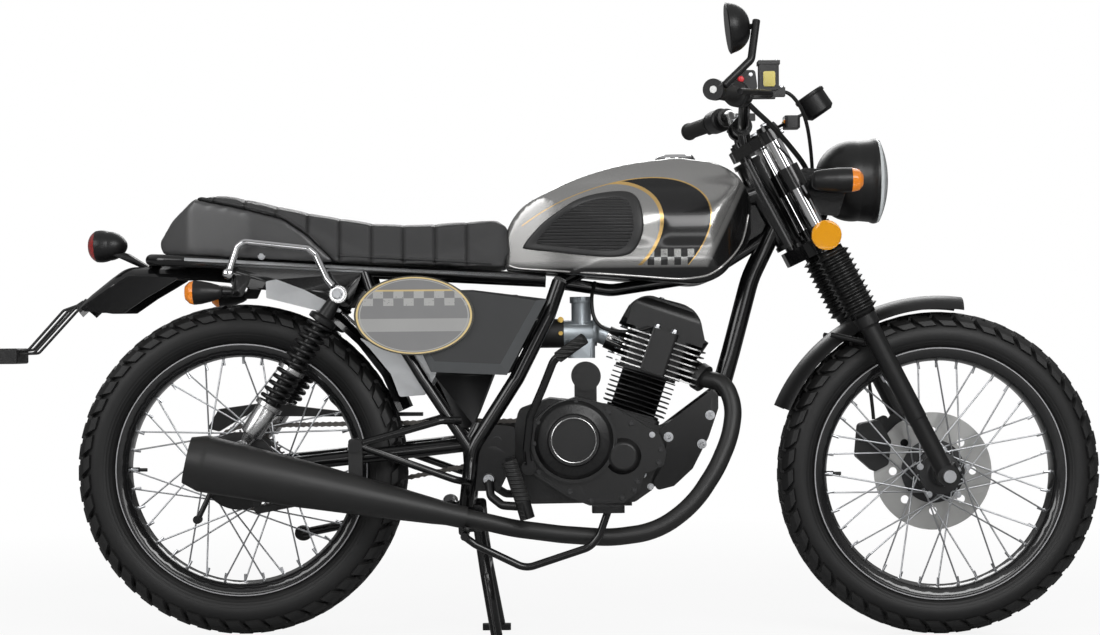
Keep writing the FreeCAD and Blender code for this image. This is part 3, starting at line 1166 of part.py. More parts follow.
def swept(points, bend, section):
    """A closed (side, height) section carried along a path in the XZ plane."""
    first, second = V(*points[0]), V(*points[1])
    ahead = second - first
    ahead.normalize()
    up = ahead.cross(Y) * (-1 if ahead.cross(Y).z < 0 else 1)
    corners = [first + Y * side + up * height for side, height in section]
    profile = Part.makePolygon(corners + corners[:1])
    return path_wire(points, bend).makePipeShell([profile], True, False, 0)


def side_tubes(r, s):
    """The twin tubes down each side, from the cross tube under the tank to the one under the engine."""
    y = s * SIDE_TUBE_Y
    return tube([(20, s * RAIL_Y, CROSS_Z), (-2, s * (RAIL_Y + 8), 620), (-64, y, 498), (-146, y, 371),
                 (-159, y, 262)],
                r, 70)


def rear_tube(r, s):
    return tube([(-350, s * RAIL_Y, rail_z(-350)), (-330, s * (RAIL_Y + 10), 650), (-238, s * SIDE_TUBE_Y, 500),
                 (-150, s * SIDE_TUBE_Y, 366)], r, 60)


def hanger(s):
    """The triangle that carries the muffler and the pillion's footrest."""
    y = s * 134
    return [tube([(-168, s * 116, 424), (-205, y, 424), (-363, y, 380)], 7, 20),
            tube([(-150, s * 116, 306), (-180, y, 314), (-363, y, 380)], 7, 20),
            across(-363, 380, y - 10, y + 10, 13)]


def beyond(inside, outside, reach):
    """The point this far past the outer of two points in the cylinder's frame, in the machine's frame."""
    a, b = V(*inside), V(*outside)
    step = b - a
    step.normalize()
    return engine_point(*(b + step * reach))


def air_and_battery_boxes():
    """The air box, the battery's case hung below it and the sheet behind the number plate on each side."""
    battery = plate([(-220, 516), (-104, 516), (-146, 410), (-168, 404)], -94, 94, 8)
    battery = battery.cut(block(-230, -90, CHAIN_Y - CHAIN_W / 2 - CLEAR, 100, 390, 430))
    air = rounded_box(-210, AIR_BOX_X, -70, 70, 512, 660, 20)
    sheet = [(-363, 584), (-323, 562), (-212, 562), (-212, 512), (-236, 471), (-284, 468), (-300, 511),
             (-338, 558)]
    return fused([battery, air] + [plate(sheet, *sorted((s * 85, s * 88)), 5) for s in (-1, 1)])


def softened(shape, r, where):
    """Rounds the edges whose middle is picked by where."""
    return shape.makeFillet(r, [edge for edge in shape.Edges if where(edge.CenterOfMass)])


def turned_curves(outline, origin, axis):
    """Like turned, for an outline of arcs and lines of (radius, height) as arc_face takes them."""
    solid = arc_face(outline, lambda p: V(p[0], 0, p[1])).revolve(ORIGIN, Z, 360)
    if solid.Volume < 0:
        solid.reverse()
    return aimed(solid, origin, axis)


def front_loom(s):
    """The route of a switch's loom from its housing to the headlight's back."""
    return [(368.9, s * 225, 998.9), (378, s * 222, 990), (412, s * 188, 966), (452, s * 128, 934),
            (490, s * 66, 900), (503, s * 22, 878), (516.8, s * 20, 875)]


BRAKE_HOSE = ((439, -186, 1026), (452, -184, 1023), (480, -160, 985), (500, -84, 918), (510, -20, 842),
              (526, 30, 775), (546, 50, 690), (574, 56, 645), (600, 58, 600), (628, 62, 500), (636, 66, 412.4))


def control_cables():
    """The looms of both switch housings, and the brake hose from its reservoir down to the caliper."""
    return together([tube(front_loom(-1), LOOM_R, 40), tube(front_loom(1), LOOM_R, 40),
                     tube(BRAKE_HOSE, HOSE_R, 60)])


def fender_post(x):
    """A post from the seat frame down to the fender's flat run."""
    def crown(at):
        for (back0, z0), (back1, z1) in zip(FENDER_TAIL, FENDER_TAIL[1:]):
            if back0 <= REAR_AXLE_X - at <= back1:
                return z0 + (z1 - z0) * (REAR_AXLE_X - at - back0) / (back1 - back0) + GAP
    return plate([(x - 12, crown(x - 12)), (x + 12, crown(x + 12)), (x + 12, rail_z(x)), (x - 12, rail_z(x))],
                 -14, 14)


def coil(origin, axis, low, high, pitch, radius, wire_r):
    """A round wire wound about axis from low to high."""
    spiral = Part.makeHelix(pitch, high - low, radius)
    profile = Part.Wire([Part.Circle(V(radius, 0, 0), V(0, 2 * math.pi * radius, pitch), wire_r).toShape()])
    wound = Part.Wire(spiral.Edges).makePipeShell([profile], True, True)
    wound.translate(V(0, 0, low))
    return aimed(wound, origin, axis)


def rocker_cover(grow):
    """The domed cover over the valves, as its side and end outlines meet."""
    low = BARREL_H + HEAD_H - 2
    side = arc_face([((-66 - grow, low + 30),), ((-54 - grow, 213), (-27, 222 + grow)), ((20, 225 + grow),),
                     ((54, 217 + grow), (72 + grow, 196)), ((86 + grow, low + 12),), ((86 + grow, low),),
                     ((-66 - grow, low),)], lambda p: V(p[0], -60, p[1])).extrude(V(0, 120, 0))
    end = arc_face([((-48 - grow, 200),), ((-42 - grow, 216), (-22, 225 + grow)), ((22, 225 + grow),),
                    ((42 + grow, 216), (48 + grow, 200)), ((48 + grow, low),), ((-48 - grow, low),)],
                   lambda p: V(-100, p[0], p[1])).extrude(V(220, 0, 0))
    return side.common(end)


def main():
    pieces = {
        "front_tyre": tyre(FRONT_AXLE_X, FRONT_AXLE_Z, FRONT_TYRE_R, FRONT_TYRE_W),
        "front_rim": laced_rim(FRONT_AXLE_X, FRONT_AXLE_Z, HUB_FLANGE_R, HUB_FLANGE_Y),
        "front_hub": front_hub(),
        "brake_disc": brake_disc(),
        "rear_tyre": tyre(REAR_AXLE_X, REAR_AXLE_Z, REAR_TYRE_R, REAR_TYRE_W),
        "rear_rim": laced_rim(REAR_AXLE_X, REAR_AXLE_Z, 70, HUB_FLANGE_Y),
        "rear_hub": rear_hub(),
        "rear_sprocket": rear_sprocket(),
        "front_axle": front_axle(),
        "rear_axle": rear_axle(),
        "fork_yokes": fork_yokes(),
        "fork_stanchions": fork_stanchions(),
        "fork_gaiters": fork_gaiters(),
        "fork_sliders": fork_sliders(),
        "headlight": headlight(),
        "lamp_brackets": lamp_brackets(),
        "front_indicators": front_indicators(),
        "fork_reflectors": fork_reflectors(),
        "gauge": gauge(),
        "handlebar": handlebar(),
        "hand_grips": hand_grips(),
        "switch_housings": switch_housings(),
        "hand_levers": hand_levers(),
        "control_cables": control_cables(),
        "mirror": mirror(),
        "front_fender": front_fender(),
        "brake_caliper": brake_caliper(),
        "main_frame": main_frame(),
        "seat_frame": seat_frame(),
        "swingarm": swingarm(),
        "rear_shocks": rear_shocks(),
        "crankcase": crankcase(),
        "clutch_cover": clutch_cover(),
        "cylinder": cylinder(),
        "cylinder_head": cylinder_head(),
        "carburettor": carburettor(),
        "exhaust_header": exhaust_header(),
        "muffler": muffler(),
        "fuel_tank": fuel_tank(),
        "fuel_cap": fuel_cap(),
        "knee_pads": knee_pads(),
        "seat": seat(),
        "tail_cowl": tail_cowl(),
        "side_covers": side_covers(),
        "oval_plates": oval_plates(),
        "air_and_battery_boxes": air_and_battery_boxes(),
        "rear_fender": rear_fender(),
        "tail_lamp": tail_lamp(),
        "plate_bracket": plate_bracket(),
        "rear_indicators": rear_indicators(),
        "grab_rails": grab_rails(),
        "drive_chain": drive_chain(),
        "chain_guard": chain_guard(),
        "kick_start_lever": kick_start_lever(),
        "footpegs": footpegs(),
        "brake_pedal": brake_pedal(),
        "gear_lever": gear_lever(),
        "rear_brake": rear_brake(),
        "centre_stand": centre_stand(),
        "side_stand": side_stand(),
    }
    os.makedirs("parts", exist_ok=True)
    for name, shape in pieces.items():
        if not shape.isValid():
            print("not valid:", name)
        shape.exportStep("parts/" + name + ".step")


main()
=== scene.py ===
"""Finishes and fine parts of the cafe racer: tread, leather, paint lines, springs, chain and cables."""

import cmath
import math

import bmesh
import bpy
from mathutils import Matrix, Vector
from mathutils.bvhtree import BVHTree


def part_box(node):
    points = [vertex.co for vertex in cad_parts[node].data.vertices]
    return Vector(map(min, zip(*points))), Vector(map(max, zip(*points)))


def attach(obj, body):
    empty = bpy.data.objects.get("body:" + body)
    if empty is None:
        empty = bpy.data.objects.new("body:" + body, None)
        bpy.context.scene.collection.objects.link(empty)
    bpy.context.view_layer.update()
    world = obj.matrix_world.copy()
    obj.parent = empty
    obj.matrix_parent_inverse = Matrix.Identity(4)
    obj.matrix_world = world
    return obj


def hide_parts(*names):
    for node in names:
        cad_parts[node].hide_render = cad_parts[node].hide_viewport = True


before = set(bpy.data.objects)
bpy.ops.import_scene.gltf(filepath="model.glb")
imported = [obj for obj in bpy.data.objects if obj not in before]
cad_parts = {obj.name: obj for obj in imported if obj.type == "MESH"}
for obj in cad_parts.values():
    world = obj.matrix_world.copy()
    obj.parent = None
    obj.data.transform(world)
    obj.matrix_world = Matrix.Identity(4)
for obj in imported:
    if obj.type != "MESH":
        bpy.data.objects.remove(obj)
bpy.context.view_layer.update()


# ---- sizes, in metres, from the frame ----

def middle(node):
    low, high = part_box(node)
    return (low + high) / 2


def half_size(node):
    low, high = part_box(node)
    return (high - low) / 2


def at(x, y, z):
    """A point of the machine given in millimetres."""
    return Vector((x, y, z)) / 1000


FRONT_AXLE = middle("front_rim")
REAR_AXLE = middle("rear_rim")
WHEELS = [(which, middle(which + "_rim"), half_size(which + "_tyre").z, half_size(which + "_tyre").y)
          for which in ("front", "rear")]                          # name, axle, radius, half width
RIM_EDGE = 0.242                      # radius of the bright line round a rim
BEAD_EDGE = 0.243                     # radius at which a tyre meets its rim
TREAD_DEPTH = 0.0055
LEAN = math.radians(18.7)             # of the cylinder, forward
CYLINDER_FOOT = at(158.6, 0, 431.8)
RAKE = math.radians(27)               # of the steering axis, backward
FORK_OFFSET = 0.050                   # of the front axle ahead of that axis
SPROCKET = at(-22, 70.5, 385)         # the engine's
CHANNEL_PITCH = 0.060                 # between the seat's sewn channels
FIRST_CHANNEL = -0.154
RIGHT, LEFT, UP = Vector((0, -1, 0)), Vector((0, 1, 0)), Vector((0, 0, 1))


# ---- node trees ----

class Field:
    """A value in a node tree, so that sums with it are written as sums; comparing gives 1 or 0."""

    def __init__(self, tree, socket):
        self.tree, self.socket = tree, socket

    def worked(self, operation, other=0.0, clamp=False):
        node = add(self.tree, "ShaderNodeMath", {0: self, 1: other}, operation=operation, use_clamp=clamp)
        return Field(self.tree, node.outputs[0])

    def __rsub__(self, other):
        return self * -1.0 + other

    def between(self, low, high):
        return (self > low) * (self < high)

    def clamped(self):
        return self.worked("ADD", 0.0, clamp=True)

    def ramped(self, start, end, low=0.0, high=1.0):
        """From low where the field is at start to high where it is at end, and level beyond."""
        return Field(self.tree, add(self.tree, "ShaderNodeMapRange",
                                    {"Value": self, "From Min": start, "From Max": end, "To Min": low,
                                     "To Max": high}).outputs[0])


def worked_by(operation):
    return lambda self, other=0.0: self.worked(operation, other)


for name, operation in (("__add__", "ADD"), ("__sub__", "SUBTRACT"), ("__mul__", "MULTIPLY"),
                        ("__truediv__", "DIVIDE"), ("__pow__", "POWER"), ("__mod__", "FLOORED_MODULO"),
                        ("__gt__", "GREATER_THAN"), ("__lt__", "LESS_THAN"), ("__abs__", "ABSOLUTE"),
                        ("at_least", "MAXIMUM"), ("at_most", "MINIMUM"), ("floor", "FLOOR"), ("root", "SQRT"),
                        ("sin", "SINE"), ("cos", "COSINE")):
    setattr(Field, name, worked_by(operation))


def feed(tree, value, socket):
    """Joins a field or another socket to a socket, or sets its value."""
    if isinstance(value, Field):
        value = value.socket
    if isinstance(value, bpy.types.NodeSocket):
        tree.links.new(value, socket)
    else:
        socket.default_value = value


def add(tree, kind, inputs=None, **settings):
    """A node with its settings made and its inputs, given by name or place, fed."""
    node = tree.nodes.new(kind)
    for name, value in settings.items():
        setattr(node, name, value)
    for key, value in (inputs or {}).items():
        feed(tree, value, node.inputs[key])
    return node


def mixed(tree, factor, a, b):
    """The colour a where factor is 0 and b where it is 1."""
    return add(tree, "ShaderNodeMix", {"Factor": factor, 6: a, 7: b}, data_type="RGBA").outputs[2]


def object_place(tree):
    return add(tree, "ShaderNodeTexCoord").outputs["Object"]


def xyz(tree, vector=None):
    """The three parts of a vector, or of the place on the machine when none is given."""
    split = add(tree, "ShaderNodeSeparateXYZ", {0: vector or object_place(tree)}).outputs
    return [Field(tree, part) for part in split]


def noise(tree, scale, detail=2.0, roughness=0.5, place=None):
    """Even noise from 0 to 1, at the place on the machine unless another is given."""
    given = {"Vector": place or object_place(tree), "Scale": scale, "Detail": detail, "Roughness": roughness}
    return Field(tree, add(tree, "ShaderNodeTexNoise", given).outputs["Fac"])


def empty_tree(name, kind, inputs, outputs):
    """A node group of this kind; inputs and outputs are (name, kind of socket) or (name, kind, value)."""
    tree = bpy.data.node_groups.new(name, kind)
    for rows, way in ((inputs, "INPUT"), (outputs, "OUTPUT")):
        for label, sort, *value in rows:
            socket = tree.interface.new_socket(label, in_out=way, socket_type="NodeSocket" + sort)
            if value:
                socket.default_value = value[0]
    return tree, tree.nodes.new("NodeGroupInput").outputs, tree.nodes.new("NodeGroupOutput").inputs


def make_surface_group():
    """Uneven colour and gloss, fine grain and a little dust on what faces up."""
    tree, given, out = empty_tree(
        "worked_surface", "ShaderNodeTree",
        [("Colour", "Color", (0.5, 0.5, 0.5, 1)), ("Roughness", "Float", 0.4), ("Unevenness", "Float", 0.1),
         ("Grain", "Float", 900.0), ("Depth", "Float", 0.1), ("Dust", "Float", 0.0)],
        [("Colour", "Color"), ("Roughness", "Float"), ("Normal", "Vector")])
    patches, specks = noise(tree, 14.0, 5.0, 0.6), noise(tree, given["Grain"], 3.0)
    sway = (patches - 0.5) * given["Unevenness"]
    shade = add(tree, "ShaderNodeHueSaturation", {"Color": given["Colour"], "Value": sway + 1.0})
    upward = xyz(tree, add(tree, "ShaderNodeNewGeometry").outputs["Normal"])[2].at_least(0.0)
    dust = (upward * patches * given["Dust"]).clamped()
    feed(tree, mixed(tree, dust, shade.outputs[0], (0.30, 0.29, 0.27, 1)), out["Colour"])
    rough = (specks - 0.5) * 0.12 + given["Roughness"] + sway * 0.4
    feed(tree, (rough + dust * 0.3).clamped(), out["Roughness"])
    bump = add(tree, "ShaderNodeBump", {"Strength": given["Depth"], "Distance": 0.0004, "Height": specks})
    feed(tree, bump.outputs[0], out["Normal"])
    return tree


def make_oval_group():
    """How far out a place lies on an oval about (X, Z), turned by Turn: 1 on its edge."""
    tree, given, out = empty_tree(
        "oval_reach", "ShaderNodeTree",
        [("X", "Float"), ("Z", "Float"), ("Long", "Float"), ("Short", "Float"), ("Turn", "Float")],
        [("Reach", "Float")])
    x, _, z = xyz(tree)
    x, z, turn = x - given["X"], z - given["Z"], Field(tree, given["Turn"])
    cos, sin = turn.cos(), turn.sin()
    along, aside = x * cos + z * sin, z * cos - x * sin
    far = abs(along / given["Long"]) ** 2.0 + abs(aside / given["Short"]) ** 2.0
    feed(tree, far.root(), out["Reach"])
    return tree


def make_chequer_group():
    """Squares of two shades in Rows rows from the height Low, with a corner at X."""
    tree, given, out = empty_tree(
        "chequer_band", "ShaderNodeTree",
        [("X", "Float"), ("Low", "Float"), ("Width", "Float", 0.0125), ("Height", "Float", 0.015),
         ("Rows", "Float", 2.0)],
        [("Square", "Float"), ("Band", "Float")])
    x, _, z = xyz(tree)
    column, up = (x - given["X"]) / given["Width"], (z - given["Low"]) / given["Height"]
    feed(tree, (column.floor() + up.floor()) % 2.0, out["Square"])
    feed(tree, (up > 0.0) * (up < given["Rows"]), out["Band"])
    return tree


SURFACE = make_surface_group()
OVAL = make_oval_group()
CHEQUER = make_chequer_group()


def oval_reach(tree, x, z, long, short, turn=0.0):
    """1 on the edge of this oval, less inside it; long and short are half lengths, turn is in degrees."""
    given = {0: x, 1: z, 2: long, 3: short, 4: math.radians(turn)}
    return Field(tree, add(tree, "ShaderNodeGroup", given, node_tree=OVAL).outputs["Reach"])


def chequers(tree, wear, wear_scale, **sizes):
    """1 on the light squares of a chequered band, less the specks that wear takes."""
    band = add(tree, "ShaderNodeGroup", sizes, node_tree=CHEQUER).outputs
    return Field(tree, band["Band"]) * band["Square"] * (noise(tree, wear_scale, 4.0) > wear)


# ---- materials ----

def surface(name, colour, roughness, metallic=0.0, uneven=0.1, grain=900.0, depth=0.1, dust=0.0, coat=0.0,
            coat_roughness=0.05, paint=None, height=None):
    """A material on the worked_surface group; paint(tree) may give its colour, height(tree) its bump.

    Painted metal is only as metallic as its colour is light.
    """
    material = bpy.data.materials.new(name)
    material.use_nodes = True
    material.diffuse_color = (*colour, 1)
    tree = material.node_tree
    shader = tree.nodes["Principled BSDF"]
    work = add(tree, "ShaderNodeGroup", {"Colour": (*colour, 1), "Roughness": roughness, "Unevenness": uneven,
                                         "Grain": grain, "Depth": depth, "Dust": dust}, node_tree=SURFACE)
    shader.inputs["Metallic"].default_value = metallic
    if paint:
        painted = paint(tree)
        feed(tree, painted, work.inputs["Colour"])
        if metallic:
            light = Field(tree, add(tree, "ShaderNodeRGBToBW", {0: painted}).outputs[0])
            feed(tree, light.ramped(0.04, 0.3, 0.0, metallic), shader.inputs["Metallic"])
    normal = work.outputs["Normal"]
    if height:
        field, distance = height(tree)
        normal = add(tree, "ShaderNodeBump", {"Strength": 1.0, "Distance": distance, "Height": field,
                                              "Normal": normal}).outputs[0]
    for source, socket in ((work.outputs["Colour"], "Base Color"), (work.outputs["Roughness"], "Roughness"),
                           (normal, "Normal")):
        feed(tree, source, shader.inputs[socket])
    shader.inputs["Coat Weight"].default_value = coat
    shader.inputs["Coat Roughness"].default_value = coat_roughness
    return material


def lens(name, colour, ribs=260.0):
    """Moulded clear plastic over a bright back, with fine ribs."""
    def ribbed(tree):
        given = {"Vector": object_place(tree), "Scale": ribs, "Distortion": 0.3}
        wave = add(tree, "ShaderNodeTexWave", given, bands_direction="Z")
        return wave.outputs["Fac"], 0.0004
    return surface(name, colour, 0.08, coat=1.0, uneven=0.25, height=ribbed)


PAD_ARC = (0.094, 0.768, 0.1232, 0.0887, 29.9)       # middle x and z, half lengths and turn of the gold arc
PANEL_EDGE = (0.073, 0.7208, 0.2537, 0.1226, 26.8)   # and of the black panel's outer edge
PANEL_FOOT = 0.7115
GOLD, SILVER, BLACK = (0.78, 0.52, 0.20, 1), (0.40, 0.396, 0.388, 1), (0.004, 0.004, 0.0043, 1)


def tank_colours(tree):
    """Silver, darkened to near black along its foot and front end by a painted dark reflection, and with a
    black panel between a gold arc and a gold pinstripe.

    A chequered band runs along the panel's foot.
    """
    arc, edge = oval_reach(tree, *PAD_ARC), oval_reach(tree, *PANEL_EDGE)
    x, y, z = xyz(tree)
    on_flank = (z > PANEL_FOOT) * (abs(y) > 0.045)
    squares = chequers(tree, 0.36, 420.0, X=0.2102, Low=PANEL_FOOT)
    panel = mixed(tree, squares, BLACK, (0.38, 0.38, 0.37, 1))
    colour = mixed(tree, (arc > 1.0) * (edge < 1.0) * on_flank * (x > 0.06), SILVER, panel)
    colour = mixed(tree, arc.between(1.0, 1.058) * on_flank * (x > 0.10) * (edge < 1.0), colour, GOLD)
    # painted reflection: the silver is darkened to near black towards the foot and the front end, standing in
    # for dark surroundings reflected there
    foot = z.ramped(0.722, 0.706)
    painted_reflection_nose = (x - (z - 0.724) * 0.5).ramped(0.288, 0.308)
    colour = mixed(tree, foot.at_least(painted_reflection_nose), colour, (0.005, 0.005, 0.0052, 1))
    return mixed(tree, edge.between(0.992, 1.004) * on_flank * (x > -0.05), colour, GOLD)


def plate_colours(tree):
    """An oval plate: grey, with a gold line inside a dark edge, a chequered band and a pale stripe."""
    centre, half = middle("oval_plates"), half_size("oval_plates")
    reach = oval_reach(tree, centre.x, centre.z, half.x, half.z)
    up = xyz(tree)[2] - centre.z
    squares = chequers(tree, 0.33, 300.0, X=centre.x, Low=centre.z + 0.018, Width=0.019, Height=0.0140)
    colour = mixed(tree, squares * 0.85, (0.17, 0.17, 0.172, 1), (0.36, 0.36, 0.35, 1))
    for share, shade in ((up.between(-0.030, -0.006), (0.29, 0.29, 0.285, 1)),
                         (up.between(0.045, 0.048) * (reach < 0.90), (0.50, 0.38, 0.16, 1)),
                         (reach.between(0.895, 0.915), (0.34, 0.34, 0.33, 1)),
                         (reach.between(0.935, 0.968), (0.62, 0.47, 0.20, 1)),
                         (reach > 0.968, (0.04, 0.036, 0.026, 1))):
        colour = mixed(tree, share, colour, shade)
    return colour


def rim_colours(centre):
    """Black, with a bright line round the rim's edge."""
    def colours(tree):
        reach = oval_reach(tree, centre.x, centre.z, RIM_EDGE, RIM_EDGE)
        return mixed(tree, reach.between(0.991, 1.003), (0.008, 0.008, 0.0085, 1), (0.32, 0.32, 0.33, 1))
    return colours


def sidewall(centre, radius):
    """Moulded rings on the sidewall, in place of lettering."""
    def rings(tree):
        reach = oval_reach(tree, centre.x, centre.z, radius, radius) * 62.0
        wave = abs((reach * math.pi).sin()) ** 6.0
        return wave * reach.between(48.5, 51.5), 0.0003
    return rings


def pad_height(tree):
    """Level ribs across the pad's middle, inside the border that the mesh's middle attribute leaves."""
    wave = (xyz(tree)[2] * (2 * math.pi / 0.0064)).sin()
    ribs = (wave * 1.6).at_least(-1.0)
    return ribs * add(tree, "ShaderNodeAttribute", attribute_name="middle").outputs["Fac"], 0.0009


def channel_share(tree, reach):
    """1 in the middle of a sewn channel across the seat, 0 at this distance from it."""
    x = xyz(tree)[0]
    off = abs((x - (FIRST_CHANNEL - CHANNEL_PITCH / 2)) % CHANNEL_PITCH - CHANNEL_PITCH / 2)
    return (1.0 - off / reach).clamped() * (x < -0.14)


def leather_with_painted_channel_shade(tree):
    """Grey leather, with painted shade darkening it along the sewn channels where they pull it in."""
    return mixed(tree, channel_share(tree, 0.0030), (0.028, 0.028, 0.0288, 1), (0.006, 0.006, 0.006, 1))


def leather_height(tree):
    """Grain cells, and a groove along each channel."""
    cells = add(tree, "ShaderNodeTexVoronoi", {"Vector": object_place(tree), "Scale": 620.0},
                feature="DISTANCE_TO_EDGE")
    grain = Field(tree, cells.outputs["Distance"]).at_most(0.25) * 0.3
    return grain - channel_share(tree, 0.0080) ** 2.0 * 0.8, 0.003


def brushed_height(scale):
    """Fine lines along X."""
    def height(tree):
        given = {"Vector": object_place(tree), "Scale": (40.0, scale, scale)}
        stretch = add(tree, "ShaderNodeMapping", given)
        return noise(tree, 1.0, place=stretch.outputs[0]), 0.00006
    return height


def ribs_along(axis, pitch, deep):
    """Moulded ribs across an axis, for pegs and the like."""
    def height(tree):
        place = add(tree, "ShaderNodeVectorMath", {0: object_place(tree), 1: tuple(axis)},
                    operation="DOT_PRODUCT")
        wave = (Field(tree, place.outputs["Value"]) * (2 * math.pi / pitch)).sin()
        return (wave * 2.0).at_least(-1.0), deep
    return height


gloss_black = surface("gloss_black_enamel", (0.003, 0.003, 0.0033), 0.20, coat=0.5, uneven=0.2, grain=260,
                      depth=0.05, dust=0.012)
satin_black = surface("satin_black_paint", (0.006, 0.006, 0.0063), 0.36, uneven=0.2, grain=1400, depth=0.12,
                      dust=0.02)
cowl_paint = surface("satin_cowl_paint", (0.060, 0.060, 0.061), 0.30, coat=0.3, coat_roughness=0.25,
                     uneven=0.15, grain=1400, depth=0.05, dust=0.02)
cover_paint = surface("satin_side_cover_paint", (0.028, 0.029, 0.030), 0.40, uneven=0.2, grain=1400,
                      depth=0.10, dust=0.02)
# painted highlight: a lighter copy of the side cover's satin paint, for its sloped edge faces where the light
# catches them
slope_painted_highlight = surface("satin_cover_slope_paint", (0.080, 0.084, 0.087), 0.42, uneven=0.2, grain=1400,
                      depth=0.10, dust=0.02)
tank_paint = surface("metallic_tank_paint", (0.36, 0.357, 0.35), 0.24, metallic=0.8, coat=0.5,
                     coat_roughness=0.08, uneven=0.10, grain=2200, depth=0.03, paint=tank_colours)
plate_paint = surface("printed_plate", (0.17, 0.17, 0.17), 0.38, coat=0.3, coat_roughness=0.2, uneven=0.2,
                      paint=plate_colours)
exhaust_black = surface("matt_black_exhaust_paint", (0.013, 0.013, 0.013), 0.44, uneven=0.3, grain=1500,
                        depth=0.2, dust=0.05)
engine_black = surface("satin_black_cast_alloy", (0.007, 0.007, 0.0073), 0.34, uneven=0.25, grain=1100,
                       depth=0.35, dust=0.03)
cast_alloy = surface("cast_alloy", (0.42, 0.46, 0.49), 0.38, metallic=0.75, uneven=0.35, grain=700, depth=0.4)
dark_cast = surface("dark_cast_alloy", (0.028, 0.028, 0.029), 0.42, metallic=0.2, uneven=0.3, grain=800,
                    depth=0.4)
bright_alloy = surface("machined_alloy", (0.72, 0.72, 0.72), 0.26, metallic=1.0, height=brushed_height(900.0))
lip_silver = surface("bright_tank_lip", (0.62, 0.61, 0.60), 0.18, metallic=0.8, coat=0.6, uneven=0.1)
chrome = surface("chrome_plate", (0.80, 0.80, 0.81), 0.07, metallic=1.0, uneven=0.04, grain=120, depth=0.02)
zinc_bolt = surface("zinc_plated_steel", (0.60, 0.61, 0.63), 0.30, metallic=1.0, uneven=0.25, grain=500,
                    depth=0.15)
brass_screw = surface("brass_screw", (0.62, 0.42, 0.12), 0.30, metallic=1.0, uneven=0.3, grain=500,
                      depth=0.15)
pale_steel = surface("pale_zinc_sheet", (0.50, 0.51, 0.52), 0.34, metallic=0.8, uneven=0.4, grain=500,
                     depth=0.2)
chain_steel = surface("oiled_chain_steel", (0.16, 0.15, 0.14), 0.34, metallic=1.0, uneven=0.5, grain=400,
                      depth=0.2)
brake_steel = surface("ground_disc_steel", (0.52, 0.52, 0.51), 0.33, metallic=0.9, uneven=0.3,
                      height=brushed_height(500.0))
rubber = surface("black_rubber", (0.009, 0.009, 0.009), 0.50, uneven=0.3, grain=600, depth=0.25, dust=0.05)
gaiter_rubber = surface("glossy_gaiter_rubber", (0.006, 0.006, 0.006), 0.28, uneven=0.3, grain=600, depth=0.2,
                        dust=0.04)
pad_rubber = surface("moulded_knee_rubber", (0.020, 0.020, 0.0205), 0.46, uneven=0.25, grain=900, depth=0.2,
                     dust=0.06, height=pad_height)
ribbed_rubber = surface("ribbed_black_rubber", (0.018, 0.018, 0.018), 0.5, uneven=0.3, grain=600, depth=0.2,
                        dust=0.08, height=ribs_along((0, 0, 1), 0.0075, 0.0008))
plastic = surface("grained_black_plastic", (0.012, 0.012, 0.0125), 0.42, uneven=0.2, grain=1300, depth=0.5,
                  dust=0.06)
white_plastic = surface("white_plastic", (0.70, 0.70, 0.69), 0.35, uneven=0.15)
leather = surface("grained_leather", (0.028, 0.028, 0.0288), 0.40, uneven=0.35, grain=500, depth=0.2,
                  dust=0.06, paint=leather_with_painted_channel_shade, height=leather_height)
thread = surface("waxed_thread", (0.035, 0.035, 0.035), 0.6, uneven=0.3, grain=3000, depth=0.5)
dial_face = surface("gauge_glass", (0.50, 0.48, 0.46), 0.10, coat=1.0, uneven=0.2)
fluid_window = surface("brake_fluid_window", (0.62, 0.52, 0.12), 0.15, coat=1.0, uneven=0.4)
button_red = surface("red_switch_button", (0.70, 0.01, 0.02), 0.35, coat=0.4)
orange_lens = lens("orange_lens", (0.95, 0.27, 0.01))
amber_lens = lens("amber_reflector", (1.0, 0.42, 0.01), ribs=420.0)
red_lens = lens("red_lens", (0.30, 0.012, 0.010))
clear_lens = lens("clear_lamp_lens", (0.62, 0.65, 0.66), ribs=160.0)
reflector_grey = lens("grey_reflector", (0.20, 0.20, 0.20), ribs=500.0)


# ---- making and dressing meshes ----

def placed(name, data):
    """A new object in the scene."""
    obj = bpy.data.objects.new(name, data)
    bpy.context.scene.collection.objects.link(obj)
    return obj


def piece(name, mesh, body, materials=(), replaces=()):
    """A finished piece of the machine, on its body; materials, if given, take the place of the mesh's own."""
    obj = placed(name, mesh)
    if materials:
        mesh.materials.clear()
        for material in materials:
            mesh.materials.append(material)
    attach(obj, body)
    if replaces:
        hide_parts(*replaces)
    return obj


def plain_mesh(obj, name):
    """The object's mesh with its modifiers applied, as a mesh of its own."""
    graph = bpy.context.evaluated_depsgraph_get()
    mesh = bpy.data.meshes.new_from_object(obj.evaluated_get(graph))
    mesh.name = name
    return mesh


def smooth(mesh, degrees=32):
    """Soft shading, with creases where faces meet at more than this angle; none anywhere if it is 0."""
    for polygon in mesh.polygons:
        polygon.use_smooth = True
    if degrees:
        mesh.set_sharp_from_angle(angle=math.radians(degrees))
    return mesh


def merged(node, flats=False):
    """A copy of a CAD node's mesh with its triangles joined, its flat faces made whole if flats is set."""
    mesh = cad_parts[node].data.copy()
    mesh.transform(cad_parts[node].matrix_world)
    shape = bmesh.new()
    shape.from_mesh(mesh)
    bmesh.ops.remove_doubles(shape, verts=shape.verts, dist=0.00002)
    bmesh.ops.dissolve_degenerate(shape, edges=shape.edges, dist=0.00001)
    bmesh.ops.recalc_face_normals(shape, faces=shape.faces)
    if flats:
        bmesh.ops.dissolve_limit(shape, angle_limit=math.radians(0.2), verts=shape.verts, edges=shape.edges)
    shape.to_mesh(mesh)
    shape.free()
    return mesh


